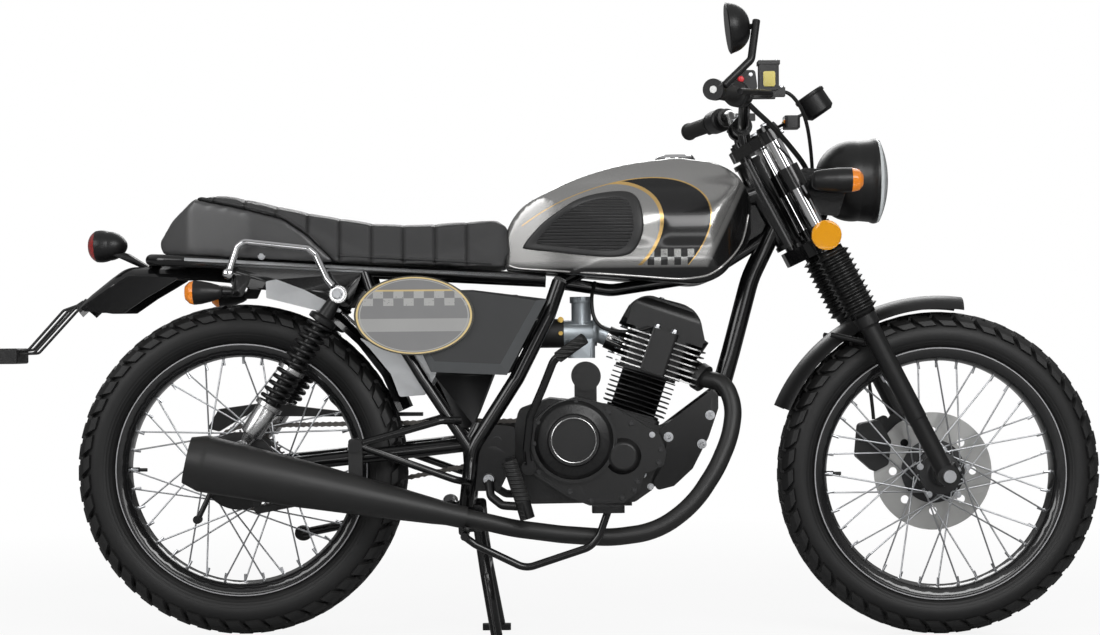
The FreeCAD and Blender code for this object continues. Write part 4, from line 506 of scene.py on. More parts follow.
def evenly_shaded(mesh):
    """The mesh with its shading led by its larger faces, so that flat faces look flat."""
    obj = placed("shading", mesh)
    lead = obj.modifiers.new("lead", "WEIGHTED_NORMAL")
    lead.mode, lead.keep_sharp, lead.weight = "FACE_AREA", True, 100
    made = plain_mesh(obj, mesh.name)
    bpy.data.objects.remove(obj)
    return made


WHOLE_FLATS = ("cylinder_head", "side_covers")       # made whole even where pick chooses among the faces


def dressed(node, body, slot, *materials, pick=None, crease=32):
    """A smooth-shaded copy of a CAD node; faces that pick(centre, normal) chooses get the second material."""
    mesh = evenly_shaded(smooth(merged(node, flats=pick is None or node in WHOLE_FLATS), crease))
    obj = piece(node + "_finish", mesh, body, materials, [node])
    if pick:
        for polygon in mesh.polygons:
            polygon.material_index = int(pick(polygon.center, polygon.normal))
    return obj


def settled(node, voxel, rounds, firm_below=0.0):
    """A CAD node's copy remeshed evenly, with its hard edges rounded off, and less so below a height."""
    obj = placed("shaping", merged(node))
    remesh = obj.modifiers.new("even", "REMESH")
    remesh.mode, remesh.voxel_size = "VOXEL", voxel
    even = plain_mesh(obj, node + "_even")
    obj.modifiers.clear()
    obj.data = even
    soft = obj.vertex_groups.new(name="soft")
    for vertex in even.vertices:
        soft.add([vertex.index], min(1.0, max(0.12, (vertex.co.z - firm_below) / 0.03)), "REPLACE")
    ease = obj.modifiers.new("ease", "SMOOTH")
    ease.iterations, ease.factor, ease.vertex_group = rounds, 0.5, "soft"
    mesh = plain_mesh(obj, node + "_even")
    bpy.data.objects.remove(obj)
    return smooth(mesh, 0)


def from_faces(name, points, faces, material=None):
    mesh = bpy.data.meshes.new(name)
    mesh.from_pydata([tuple(p) for p in points], [], faces)
    mesh.validate()
    if material:
        mesh.materials.append(material)
    return mesh


def woven(rows, count, ringed=True, closed=False):
    """Faces between rows of count points; ringed joins each row's ends, closed the last row to the first."""
    return [(a * count + k, a * count + (k + 1) % count,
             (a + 1) % rows * count + (k + 1) % count, (a + 1) % rows * count + k)
            for a in range(rows if closed else rows - 1) for k in range(count if ringed else count - 1)]


def round_points(centre, a, b, radius, count):
    """Points on the circle about centre, in the plane of the directions a and b."""
    turns = [2 * math.pi * k / count for k in range(count)]
    return [centre + (a * math.cos(turn) + b * math.sin(turn)) * radius for turn in turns]


def outward(mesh):
    """The mesh with its doubled points joined and all its faces turned outward."""
    shape = bmesh.new()
    shape.from_mesh(mesh)
    bmesh.ops.remove_doubles(shape, verts=shape.verts, dist=0.00001)
    bmesh.ops.recalc_face_normals(shape, faces=shape.faces)
    shape.to_mesh(mesh)
    shape.free()
    return mesh


def joined(name, meshes):
    """Several meshes as one, each with its own material kept."""
    whole, materials = bmesh.new(), []
    for mesh in meshes:
        start = len(whole.faces)
        whole.from_mesh(mesh)
        whole.faces.ensure_lookup_table()
        for face in whole.faces[start:]:
            material = mesh.materials[face.material_index] if mesh.materials else None
            if material not in materials:
                materials.append(material)
            face.material_index = materials.index(material)
    result = bpy.data.meshes.new(name)
    whole.to_mesh(result)
    whole.free()
    for material in materials:
        result.materials.append(material)
    return result


def turn_to(axis):
    """The rotation that takes up to this axis."""
    return UP.rotation_difference(Vector(axis).normalized()).to_matrix()


def lathe(profile, origin, axis, steps=48, material=None):
    """(radius, height) points turned about axis through origin."""
    a, b, up = turn_to(axis).col
    points = []
    for radius, height in profile:
        points += round_points(Vector(origin) + up * height, a, b, radius, steps)
    return smooth(outward(from_faces("turned", points, woven(len(profile), steps), material)))


def smooth_line(points, step, closed=False):
    """Points a step apart along a smooth curve through the given ones."""
    ends = [points[0] * 2 - points[1]] + points + [points[-1] * 2 - points[-2]]
    if closed:
        ends = points[-1:] + points + points[:2]
    line = []
    for p0, p1, p2, p3 in zip(ends, ends[1:], ends[2:], ends[3:]):
        count = max(2, int((p2 - p1).length / step))
        for i in range(count):
            t = i / count
            line.append(0.5 * (2 * p1 + (p2 - p0) * t + (2 * p0 - 5 * p1 + 4 * p2 - p3) * t * t
                               + (3 * p1 - p0 - 3 * p2 + p3) * t ** 3))
    return line if closed else line + [points[-1]]


def wire(line, radius, sides=10, closed=False, material=None):
    """A round tube of one radius, or of a radius for each point, along a line of points."""
    radii = radius if isinstance(radius, (list, tuple)) else [radius] * len(line)
    count = len(line)
    ahead = [((line[(i + 1) % count] if closed or i + 1 < count else line[i])
              - (line[i - 1] if closed or i else line[i])).normalized() for i in range(count)]
    side = ahead[0].orthogonal().normalized()
    points = []
    for centre, direction, r in zip(line, ahead, radii):
        side = (side - direction * side.dot(direction)).normalized()
        points += round_points(centre, side, direction.cross(side), r, sides)
    faces = woven(count, sides, closed=closed)
    if not closed:
        faces += [tuple(range(sides)), tuple((count - 1) * sides + k for k in reversed(range(sides)))]
    return smooth(from_faces("wire", points, faces, material), 40)


def slab_of(outline, depth, place, material=None):
    """A closed outline of (a, b) points made this deep; place(a, b, c) gives a point of the machine."""
    count = len(outline)
    points = [place(a, b, c) for c in (0, depth) for a, b in outline]
    faces = [tuple(range(count)), tuple(range(2 * count - 1, count - 1, -1))] + woven(2, count)
    return outward(from_faces("slab", points, faces, material))


def length_of(line):
    return sum((b - a).length for a, b in zip(line, line[1:]))


def shell_of(mesh):
    """What rays are cast at to find places on a mesh."""
    return BVHTree.FromPolygons([v.co.copy() for v in mesh.vertices],
                                [tuple(p.vertices) for p in mesh.polygons])


def on_side(shell, x, z, side, proud=0.0):
    """The place on a shell straight in from one side at (x, z) in mm, lifted by proud; None if it misses."""
    place, normal = shell.ray_cast(Vector((x / 1000, side * 0.6, z / 1000)), Vector((0, -side, 0)))[:2]
    return place + normal * proud if place else None


def line_on_side(shell, outline, side, proud):
    """A smooth line on a shell through the (x, z) places of outline that meet it."""
    found = [on_side(shell, x, z, side, proud) for x, z in outline]
    return smooth_line([place for place in found if place], 0.006)


# ---- repeats, by geometry nodes ----

def end_with_copies(tree, given, out, copying):
    """Ends a tree with instances made as copying says, turned into real geometry of one material."""
    copies = add(tree, "GeometryNodeInstanceOnPoints", copying)
    real = add(tree, "GeometryNodeRealizeInstances", {"Geometry": copies.outputs[0]})
    done = add(tree, "GeometryNodeSetMaterial", {"Geometry": real.outputs[0], "Material": given["Material"]})
    feed(tree, done.outputs[0], out["Geometry"])


def make_ring_tree():
    """Copies of a mesh about a Y axis through Centre: Count of them, the first turned by Start."""
    tree, given, out = empty_tree(
        "ring_of_copies", "GeometryNodeTree",
        [("Geometry", "Geometry"), ("Count", "Int"), ("Start", "Float"), ("Centre", "Vector"),
         ("Material", "Material")], [("Geometry", "Geometry")])
    places = add(tree, "GeometryNodePoints", {"Count": given["Count"], "Position": given["Centre"]})
    number = Field(tree, add(tree, "GeometryNodeInputIndex").outputs[0])
    turn = add(tree, "ShaderNodeCombineXYZ", {"Y": number / given["Count"] * (2 * math.pi) + given["Start"]})
    end_with_copies(tree, given, out, {"Points": places.outputs[0], "Instance": given["Geometry"],
                                       "Rotation": turn.outputs[0]})
    return tree


def make_path_tree():
    """Count copies of Piece along the curve, their X along it and their Y as near Side as it can be."""
    tree, given, out = empty_tree(
        "copies_along_a_path", "GeometryNodeTree",
        [("Geometry", "Geometry"), ("Piece", "Object"), ("Count", "Int"), ("Side", "Vector"),
         ("Material", "Material")], [("Geometry", "Geometry")])
    places = add(tree, "GeometryNodeCurveToPoints", {"Curve": given["Geometry"], "Count": given["Count"]},
                 mode="COUNT")
    turn = add(tree, "FunctionNodeAxesToRotation", {0: places.outputs["Tangent"], 1: given["Side"]},
               primary_axis="X", secondary_axis="Y")
    shape = add(tree, "GeometryNodeObjectInfo", {"Object": given["Piece"]})
    end_with_copies(tree, given, out, {"Points": places.outputs["Points"], "Rotation": turn.outputs[0],
                                       "Instance": shape.outputs["Geometry"]})
    return tree


RING_TREE = make_ring_tree()
PATH_TREE = make_path_tree()


def run_tree(obj, tree, values):
    """Runs the tree on obj with its inputs set, and gives the plain mesh."""
    modifier = obj.modifiers.new("repeat", "NODES")
    modifier.node_group = tree
    sockets = {s.name: s.identifier for s in tree.interface.items_tree if s.in_out == "INPUT"}
    for label, value in values.items():
        modifier[sockets[label]] = value
    mesh = plain_mesh(obj, "copies")
    bpy.data.objects.remove(obj)
    return mesh


def ring(mesh, count, centre, material, start=0.0):
    """Copies of mesh about the Y axis through centre, the first turned by start."""
    return run_tree(placed("one", mesh), RING_TREE,
                    {"Count": count, "Start": start, "Centre": tuple(centre), "Material": material})


def curve_on(name, kind, points):
    """A curve's data and its one spline of this kind, on the points."""
    curve = bpy.data.curves.new(name, "CURVE")
    curve.dimensions = "3D"
    spline = curve.splines.new(kind)
    spline.points.add(len(points) - 1)
    for point, place in zip(spline.points, points):
        point.co = (*place, 1)
    return curve, spline


def along(mesh, line, count, side, material, closed=False):
    """Copies of mesh along a line of points."""
    pattern = placed("one", mesh)
    curve, spline = curve_on("path", "POLY", line)
    spline.use_cyclic_u = closed
    made = run_tree(placed("path", curve), PATH_TREE,
                    {"Piece": pattern, "Count": count, "Side": tuple(side), "Material": material})
    bpy.data.objects.remove(pattern)
    return made


def bolt(place, axis, across_flats, height, material):
    """A hexagon head on its washer, with a bevelled top."""
    corner, washer = across_flats / math.sqrt(3), height * 0.18
    turn, points = turn_to(axis), []
    for radius, up, hexagonal in ((corner * 1.22, -0.0004, False), (corner * 1.22, washer, False),
                                  (corner * 0.98, washer, False), (corner, washer, True),
                                  (corner, height * 0.86, True), (corner * 0.84, height, False),
                                  (0.0001, height, False)):
        for k in range(24):
            angle = math.pi * k / 12
            flat = math.cos(math.pi / 6) / math.cos(angle % (math.pi / 3) - math.pi / 6) if hexagonal else 1
            spoke = Vector((math.cos(angle), math.sin(angle), 0)) * radius * flat
            points.append(place + turn @ (spoke + UP * up))
    return smooth(outward(from_faces("bolt", points, woven(7, 24), material)), 28)


def bolts(name, body, rows, material=zinc_bolt):
    """One piece of many bolts; each row is (place, axis, across flats, height)."""
    piece(name, joined(name, [bolt(*row, material) for row in rows]), body)


# ---- camera, floor and lights ----

def make_camera():
    data = bpy.data.cameras.new("camera")
    data.sensor_width, data.lens, data.shift_y = 36.0, 67.7, 0.025
    camera = placed("camera", data)
    camera.location = (0.0012, -4.0, 0.5636)
    camera.rotation_euler = (math.radians(90), math.radians(0.5), 0)
    bpy.context.scene.camera = camera


def make_floor():
    """Pale and plain; what the camera sees of it is lifted towards white, fully so far away."""
    material = bpy.data.materials.new("pale_floor")
    material.use_nodes = True
    tree = material.node_tree
    shader = tree.nodes["Principled BSDF"]
    shader.inputs["Roughness"].default_value = 0.9
    path = add(tree, "ShaderNodeLightPath").outputs
    pale = mixed(tree, noise(tree, 3.0), (0.80, 0.80, 0.80, 1), (0.84, 0.84, 0.84, 1))
    mirrored = Field(tree, path["Is Glossy Ray"]) * 0.72
    feed(tree, mixed(tree, mirrored, pale, (0.04, 0.04, 0.04, 1)), shader.inputs["Base Color"])
    white = add(tree, "ShaderNodeEmission", {"Color": (1, 1, 1, 1), "Strength": 1.0})
    length = add(tree, "ShaderNodeVectorMath", {0: object_place(tree)}, operation="LENGTH")
    away = Field(tree, length.outputs["Value"])
    lift = (((away - 1.4) * 0.10).clamped() + 0.86).clamped()
    blend = add(tree, "ShaderNodeMixShader", {0: lift * path["Is Camera Ray"], 1: shader.outputs[0],
                                              2: white.outputs[0]})
    feed(tree, blend.outputs[0], tree.nodes["Material Output"].inputs["Surface"])
    corners = [(-40, -40, 0), (40, -40, 0), (40, 40, 0), (-40, 40, 0)]
    floor = placed("floor", from_faces("floor", corners, [(0, 1, 2, 3)], material))


def make_lights():
    """White behind for the camera, a room that reflects dark below and bright above, and four soft lamps."""
    world = bpy.data.worlds.new("studio")
    bpy.context.scene.world = world
    world.use_nodes = True
    tree = world.node_tree
    background = tree.nodes["Background"]
    background.inputs["Color"].default_value = (1, 1, 1, 1)
    path = add(tree, "ShaderNodeLightPath").outputs
    seen = Field(tree, path["Is Camera Ray"]).at_least(path["Is Transmission Ray"])
    room = xyz(tree, add(tree, "ShaderNodeTexCoord").outputs["Generated"])[2].ramped(0.05, 0.75, -0.41, -0.05)
    feed(tree, (seen * 0.55 + room * path["Is Glossy Ray"] + 0.45).clamped(), background.inputs["Strength"])
    for name, place, size, power in (("key", (1.4, -3.3, 2.2), (2.6, 1.4), 62),
                                     ("side", (-2.8, -2.8, 2.0), (2.0, 2.0), 42),
                                     ("back", (0.2, 3.2, 2.8), (3.0, 1.6), 55),
                                     ("strip", (0.2, -3.6, 0.62), (3.0, 0.34), 9)):
        data = bpy.data.lights.new(name, "AREA")
        data.shape, data.size, data.size_y, data.energy = "RECTANGLE", *size, power
        lamp = placed(name, data)
        lamp.location = place
        lamp.rotation_euler = (Vector((0, 0, 0.5)) - Vector(place)).to_track_quat("-Z", "Y").to_euler()
    bpy.context.scene.view_settings.view_transform = "Standard"


make_camera()
make_floor()
make_lights()


# ---- cables ----

LOOM = ((368.9, 225, 998.9), (378, 222, 990), (412, 188, 966), (452, 128, 934), (490, 66, 900),
        (503, 22, 878), (516.8, 20, 875))
BRAKE_HOSE = ((439, -186, 1026), (452, -184, 1023), (480, -160, 985), (500, -84, 918), (510, -20, 842),
              (526, 30, 775), (546, 50, 690), (574, 56, 645), (600, 58, 600), (628, 62, 500),
              (636, 66, 412.4))


def cable(name, points, radius):
    """A rubber-covered loom or hose that both of its ends hold."""
    run = [at(*p) for p in points]
    curve, spline = curve_on(name, "NURBS", run)
    curve.bevel_depth, curve.bevel_resolution, curve.resolution_u = radius, 4, 8
    spline.order_u = 3
    spline.use_endpoint_u = True
    curve.materials.append(rubber)
    obj = placed(name, curve)
    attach(obj, "steering")
    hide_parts("control_cables")


cable("left_loom", LOOM, 0.005)
cable("right_loom", [(x, -y, z) for x, y, z in LOOM], 0.005)
cable("brake_hose", BRAKE_HOSE, 0.0035)


# ---- wheels ----

def arc_through(a, b, c, steps):
    """Points on the circle through a, b and c, from a to c, each as (side, radius)."""
    a, b, c = (complex(*point) for point in (a, b, c))
    skew = (c - a) / (b - a)
    centre = a + (b - a) * (skew - abs(skew) ** 2) / (2j * skew.imag)
    start, mid, end = (cmath.phase(point - centre) for point in (a, b, c))
    span = (end - start) % (2 * math.pi)
    if (mid - start) % (2 * math.pi) > span:
        span -= 2 * math.pi
    line = [centre + cmath.rect(abs(a - centre), start + span * i / steps) for i in range(steps + 1)]
    return [(point.real, point.imag) for point in line]


def crown_radius(radius, half, side):
    """The tyre's radius at this distance from its centre plane."""
    sagitta, reach = 0.015, half - 0.005
    bend = (reach * reach + sagitta * sagitta) / (2 * sagitta)
    return radius - (bend - math.sqrt(max(bend * bend - side * side, 0)))


def knob(points):
    """A block of the tread from its rows of four points."""
    ends = [(0, 1, 2, 3), tuple(range(len(points) - 4, len(points)))]
    return outward(from_faces("knob", points, woven(len(points) // 4, 4, ringed=False) + ends))


def tread_block(radius, half, low, high, slant, long):
    """A knob from one distance off the centre plane to another, its ends slanted and its top bevelled."""
    steps, depth, points = 4, TREAD_DEPTH + 0.002, []
    for i in range(steps + 1):
        side = low + (high - low) * i / steps
        centre, top = slant * (side - low), crown_radius(radius, half, side)
        bevel = 0.0012 if 0 < i < steps else 0.0025
        inset = {0: bevel, steps: -bevel}.get(i, 0) * math.copysign(1, high - low)
        reach = long / 2 * (1.0 if i < steps else 0.86)
        points += [(centre - reach, side, top - depth), (centre - reach + bevel, side + inset, top),
                   (centre + reach - bevel, side + inset, top), (centre + reach, side, top - depth)]
    return knob(points)


def shoulder_block(radius, half, mirror):
    """The knob that wraps over the shoulder and thins out down the sidewall."""
    shoulder = radius - 0.015
    line = [(half - off, crown_radius(radius, half, half - off)) for off in (0.016, 0.009)]
    wall = arc_through((half - 0.005, shoulder), (half, (BEAD_EDGE + shoulder) / 2), (0.027, BEAD_EDGE), 24)
    line += wall[:6]
    points = []
    for i, (side, r) in enumerate(line):
        share = i / (len(line) - 1)
        reach, proud = 0.017 - 0.0035 * share, 0.0 if i < 3 else 0.0014 * (1 - share)
        centre = -0.006 + 0.016 * share
        inward = (TREAD_DEPTH + 0.003) * (1 - 0.45 * share)
        out = 1.0 if i >= 2 else 0.35
        top = reach - 0.0018
        for edge, lift in ((-reach, -inward), (-top, proud), (top, proud), (reach, -inward)):
            points.append((centre + edge, mirror * (side + lift * out * 0.9), r + lift * (1 - out * 0.55)))
    return knob(points)


def make_tyre(which, axle, radius, half):
    """Carcass with sidewall rings, two staggered rows of centre knobs and a row over each shoulder."""
    bead, low = 0.027, radius - TREAD_DEPTH
    turn_in = (half - 0.0115, low - 0.0155)
    side = arc_through((bead, BEAD_EDGE), (half - 0.0012, (BEAD_EDGE + radius - 0.021) / 2), turn_in, 18)
    crown = arc_through(turn_in, (0, low), (-turn_in[0], turn_in[1]), 20)
    foot = [(0.0245, 0.2295), (bead, 0.236)]
    outline = foot + side + crown[1:-1] + [(-y, r) for y, r in reversed(foot + side)]
    finish = surface(which + "_tyre_rubber", (0.008, 0.008, 0.0082), 0.52, uneven=0.35, grain=500, depth=0.3,
                     dust=0.05, height=sidewall(axle, radius))
    carcass = lathe([(r, y) for y, r in outline], axle, LEFT, 180, finish)
    count = round(2 * math.pi * radius / 0.042)
    step = 2 * math.pi / count
    parts = [smooth(carcass, 40)]
    for mirror in (-1, 1):
        inner = tread_block(radius, half, mirror * 0.0015, mirror * (half - 0.020), -0.35 * mirror, 0.026)
        outer = shoulder_block(radius, half, mirror)
        parts += [ring(block, count, axle, finish, step * (start + 0.25 * mirror))
                  for block, start in ((inner, 0.25), (outer, 0.5))]
    node = which + "_tyre"
    piece(node + "_finish", joined(node, parts), which + "_wheel", replaces=[node])


def make_rim(which, axle):
    """Black rim with a bright edge, bright spokes, a nipple in the rim for each and the tyre valve."""
    body = which + "_wheel"
    paint = surface(which + "_rim_enamel", (0.008, 0.008, 0.0085), 0.20, coat=1.0, uneven=0.15, dust=0.03,
                    paint=rim_colours(axle))
    dressed(which + "_rim", body, "black_rim", paint, zinc_bolt,
            pick=lambda c, _: math.hypot(c.x - axle.x, c.z - axle.z) < 0.2164)
    parts = []
    for mirror in (-1, 1):
        profile = [(0.0001, -0.014), (0.0024, -0.0138), (0.0026, -0.002), (0.0042, 0.0), (0.0001, 0.001)]
        nipple = lathe(profile, (0, mirror * 0.005, 0.2172), UP, 8)
        parts.append(ring(nipple, 18, axle, zinc_bolt, math.pi / 2 + math.pi / 18 * (0.5 + 0.5 * mirror)))
    parts.append(lathe([(0.0001, -0.026), (0.0035, -0.026), (0.0035, -0.012), (0.005, -0.011), (0.005, 0.002),
                        (0.0001, 0.002)], (axle.x - 0.213, 0, axle.z), (-1, 0, 0), 14, rubber))
    piece(which + "_nipples", joined("nipples", parts), body)


for which, axle, radius, half in WHEELS:
    make_tyre(which, axle, radius, half)
    make_rim(which, axle)


# ---- nodes that one finish covers ----

for body, slot, material, crease, nodes in (
        ("steering", "chrome", chrome, 32, ("fork_stanchions",)),
        ("steering", "black_rubber", gaiter_rubber, 70, ("fork_gaiters",)),
        ("steering", "black_frame", gloss_black, 32, ("fork_yokes", "lamp_brackets", "handlebar")),
        ("steering", "black_paint", satin_black, 32, ("fork_sliders", "brake_caliper", "hand_levers")),
        ("steering", "black_paint", satin_black, 20, ("front_fender",)),
        ("steering", "black_plastic", plastic, 32, ("switch_housings",)),
        ("steering", "bright_steel", zinc_bolt, 32, ("front_axle",)),
        ("front_wheel", "cast_alloy", dark_cast, 32, ("front_hub",)),
        ("front_wheel", "bright_steel", brake_steel, 32, ("brake_disc",)),
        ("rear_wheel", "cast_alloy", dark_cast, 32, ("rear_hub",)),
        ("rear_wheel", "bright_steel", chain_steel, 32, ("rear_sprocket",)),
        ("centre_stand", "black_frame", gloss_black, 32, ("centre_stand",)),
        ("side_stand", "black_frame", gloss_black, 32, ("side_stand",)),
        ("chassis", "black_frame", gloss_black, 32, ("main_frame", "swingarm")),
        ("chassis", "black_engine", engine_black, 32, ("crankcase",)),
        ("chassis", "black_exhaust", exhaust_black, 32, ("exhaust_header",)),
        ("chassis", "black_exhaust", exhaust_black, 24, ("muffler",)),
        ("chassis", "black_paint", satin_black, 32, ("chain_guard",)),
        ("chassis", "black_paint", gloss_black, 32, ("brake_pedal",)),
        ("chassis", "black_gloss", gloss_black, 20, ("rear_fender",)),
        ("chassis", "bright_steel", zinc_bolt, 32, ("rear_axle", "gear_lever")),
        ("chassis", "cast_alloy", engine_black, 32, ("rear_brake",)),
        ("chassis", "chrome", chrome, 32, ("fuel_cap", "grab_rails")),
        ("chassis", "plate_paint", plate_paint, 32, ("oval_plates",))):
    for node in nodes:
        dressed(node, body, slot, material, crease=crease)


# ---- fork, lamp and bars ----

AHEAD_OF_FORK = Vector((math.cos(RAKE), 0, math.sin(RAKE)))
UP_FORK = Vector((-math.sin(RAKE), 0, math.cos(RAKE)))
GRIP_IN, GRIP_OUT = (350.0, 225.0, 1018.0), (297.0, 360.0, 1010.0)


def steer(u, y, t):
    """A point in the fork's own axes, in mm: u ahead of the steering axis, t up along it from the axle."""
    place = FRONT_AXLE + AHEAD_OF_FORK * (u / 1000 - FORK_OFFSET) + UP_FORK * (t / 1000)
    place.y = y / 1000
    return place


def grip_place(side, share):
    """The place this share of the way out along the grip on one side."""
    start, end = (at(x, side * y, z) for x, y, z in (GRIP_IN, GRIP_OUT))
    return start + (end - start) * share


def over_disc(centre, axis, height, radius):
    """A pick of the faces above this height along the axis from centre and within the radius of it."""
    def chosen(c, _):
        over = (c - centre).dot(axis)
        return over > height and (c - centre - axis * over).length < radius
    return chosen


def make_fork():
    dressed("fork_reflectors", "steering", "amber_lens", plastic, amber_lens,
            pick=lambda c, _: abs(c.y) > 0.1225)
    rows = [(at(x, 77.2, z), LEFT, 0.011, 0.006) for x, z in ((644, 398), (672, 362))]
    for s in (-1, 1):
        rows += [(steer(50, s * 95, 743.8), UP_FORK, 0.014, 0.006),
                 (at(574, s * 93, 875), LEFT * s, 0.012, 0.006)]
        rows += [(steer(u, s * 95, t), AHEAD_OF_FORK, 0.008, 0.005)
                 for u, t in ((71.5, 721), (74.5, 497), (73.6, 0))]
        rows += [(at(372 + x, s * 40 + y, 996.6), UP, 0.008, 0.004) for x in (-7, 7) for y in (-6, 6)]
    bolts("fork_bolts", "steering", rows)


def make_lamp_and_clock():
    dressed("headlight", "steering", "black_paint", satin_black, clear_lens, crease=24,
            pick=lambda c, _: c.x > 0.6325)
    dressed("front_indicators", "steering", "amber_lens", satin_black, orange_lens, crease=24,
            pick=lambda c, _: c.x > 0.5655 and abs(c.y) > 0.11)
    axis = Vector((-math.sin(math.radians(34)), 0, math.cos(math.radians(34))))
    clock = at(516.7, 0, 1026)
    dressed("gauge", "steering", "black_paint", satin_black, dial_face,
            pick=over_disc(clock, axis, 0.0195, 0.0262))

    def on_dial(degrees, out, up):
        turned = math.radians(degrees)
        return clock + axis * up + (axis.cross(LEFT) * math.cos(turned) + LEFT * math.sin(turned)) * out
    zero, sweep, marks = -40, 260, 16
    parts = []
    for k in range(marks + 1):
        degrees = zero + sweep * k / marks
        parts.append(wire([on_dial(degrees, 0.0195, 0.0206), on_dial(degrees, 0.024, 0.0206)], 0.0004, 4,
                          material=plastic))
    parts.append(wire([on_dial(zero, -0.004, 0.0212), on_dial(zero, 0.019, 0.0212)], [0.0009, 0.0004], 6,
                      material=button_red))
    parts.append(lathe([(0.0001, 0.0222), (0.003, 0.022), (0.0034, 0.0203)], clock, axis, 20, plastic))
    lamp = [(0.0001, 0.0022), (0.0028, 0.0018), (0.0040, 0.0002), (0.0052, 0.0), (0.0052, -0.0005)]
    parts += [lathe(lamp, at(457, y, 990), (-1, 0, 0), 20, colour)
              for y, colour in ((-15, orange_lens), (0, fluid_window), (15, red_lens))]
    piece("dial_and_lamps", joined("dial", parts), "steering")


def make_grips():
    """Ribbed grips, with a flange at the inner end."""
    grips, ribs = [], 26
    for s in (-1, 1):
        start, end = grip_place(s, 0.18), grip_place(s, 0.99)
        long = (end - start).length
        step = (long - 0.018) / ribs
        profile = [(0.0114, 0.0), (0.0222, 0.0), (0.0225, 0.0015), (0.0222, 0.004), (0.0160, 0.006)]
        for i in range(ribs):
            profile += [(r, 0.008 + step * (i + share))
                        for r, share in ((0.0150, 0), (0.0163, 0.2), (0.0163, 0.65), (0.0150, 0.85))]
        profile += [(0.0160, long - 0.008), (0.0183, long - 0.004), (0.0183, long - 0.001), (0.0114, long)]
        grips.append(lathe(profile, start, end - start, 40, rubber))
    piece("hand_grips_finish", joined("grips", grips), "steering", replaces=["hand_grips"])


def make_bars():
    make_grips()
    facing = Vector((-1, 0, -0.12)).normalized()
    mirror_at = grip_place(-1, 1.0) + at(35, 30, 114)
    dressed("mirror", "steering", "black_paint", satin_black, chrome, crease=24,
            pick=over_disc(mirror_at, facing, 0.0113, 0.0421))
    plug = lathe([(0.0001, 0.0), (0.0064, 0.0), (0.0066, -0.001), (0.0066, -0.006)], grip_place(-1, 1.115),
                 grip_place(-1, 1.0) - grip_place(-1, 0.0), 28, white_plastic)
    piece("mirror_clamp_plug", plug, "steering")

    def window(wide, tall, y, thick, material):
        """An oblong with its corners cut, on the side of the brake's fluid box."""
        corners = ((-1, -0.8), (-0.8, -1), (0.8, -1), (1, -0.8), (1, 0.8), (0.8, 1), (-0.8, 1), (-1, 0.8))
        outline = [(0.408 + wide * a, 1.049 + tall * b) for a, b in corners]
        return slab_of(outline, thick, lambda a, b, c: (a, y - c, b), material)
    glass = window(0.011, 0.014, -0.2010, 0.0012, fluid_window)
    rim = window(0.01276, 0.01568, -0.2008, 0.0007, plastic)
    piece("fluid_window", joined("window", [rim, glass]), "steering")
    button = lathe([(0.0001, 0.0055), (0.0045, 0.0052), (0.0056, 0.004), (0.0058, -0.0005)],
                   at(352, -243, 1043), RIGHT, 24, button_red)
    toggle = wire([at(364, -241, 1026), at(365, -250, 1024)], [0.0032, 0.0024], 12, material=plastic)
    piece("switch_buttons", joined("buttons", [button, toggle]), "steering")
    rows = [(at(400, 186, 1027.8), UP, 0.009, 0.004), (at(432, -186, 1033.8), UP, 0.008, 0.004)]
    rows += [(at(x, y, 1082.6), UP, 0.005, 0.002) for x in (394, 422) for y in (-197, -175)]
    rows += [(at(x, -243, z), RIGHT, 0.005, 0.002) for x, z in ((341, 1016), (370, 1052))]
    bolts("bar_bolts", "steering", rows)


make_fork()
make_lamp_and_clock()
make_bars()


# ---- hub bolts and chain ----

def make_hub_bolts():
    rows = []
    for k in range(5):
        angle = 2 * math.pi * k / 5 + 0.3
        spot = FRONT_AXLE + Vector((math.cos(angle), 0, math.sin(angle))) * 0.047 + RIGHT * 0.0622
        rows.append((spot, RIGHT, 0.009, 0.005))
    bolts("front_hub_bolts", "front_wheel", rows)


def belt_line(front, rear, front_r, rear_r):
    """The closed line round both sprockets, in small steps, in the front one's plane."""
    away = rear - front
    base, tilt = math.atan2(away.z, away.x), math.acos((rear_r - front_r) / away.length)
    wrap = math.pi - tilt

    def spots(centre, radius, start, span, steps):
        angles = [base + start + span * i / steps for i in range(steps + 1)]
        return [Vector((centre.x + radius * math.cos(angle), front.y, centre.z + radius * math.sin(angle)))
                for angle in angles]
    return spots(front, front_r, wrap, 2 * tilt, 24) + spots(rear, rear_r, -wrap, 2 * wrap, 60)


def evenly_spaced(line, count):
    """The closed line again, as count points the same distance apart."""
    closed = line + line[:1]
    gone = [0.0]
    for a, b in zip(closed, closed[1:]):
        gone.append(gone[-1] + (b - a).length)
    points, k = [], 0
    for i in range(count):
        want = gone[-1] * i / count
        while gone[k + 1] < want:
            k += 1
        share = (want - gone[k]) / max(gone[k + 1] - gone[k], 1e-9)
        points.append(closed[k].lerp(closed[k + 1], share))
    return points


def chain_link(pitch, y, tall, waist, pin, reach, sides):
    """Two waisted side plates, y off the chain's middle, and two pins or rollers, reach long to each side."""
    thick, outline = 0.0014, []
    for centre, start in ((pitch / 2, -75), (-pitch / 2, 105)):
        turns = [math.radians(start + 150 * i / 8) for i in range(9)]
        outline += [(centre + tall * math.cos(turn), tall * math.sin(turn)) for turn in turns]
        outline.append((0, math.copysign(waist, centre)))
    plates = [slab_of(outline, thick, lambda a, b, c, s=s: (a, s * (y + c), b)) for s in (-1, 1)]
    pins = [lathe([(0.0001, -reach), (pin, -reach), (pin, reach), (0.0001, reach)], (x, 0, 0), LEFT, sides)
            for x in (-pitch / 2, pitch / 2)]
    return joined("link", plates + pins)


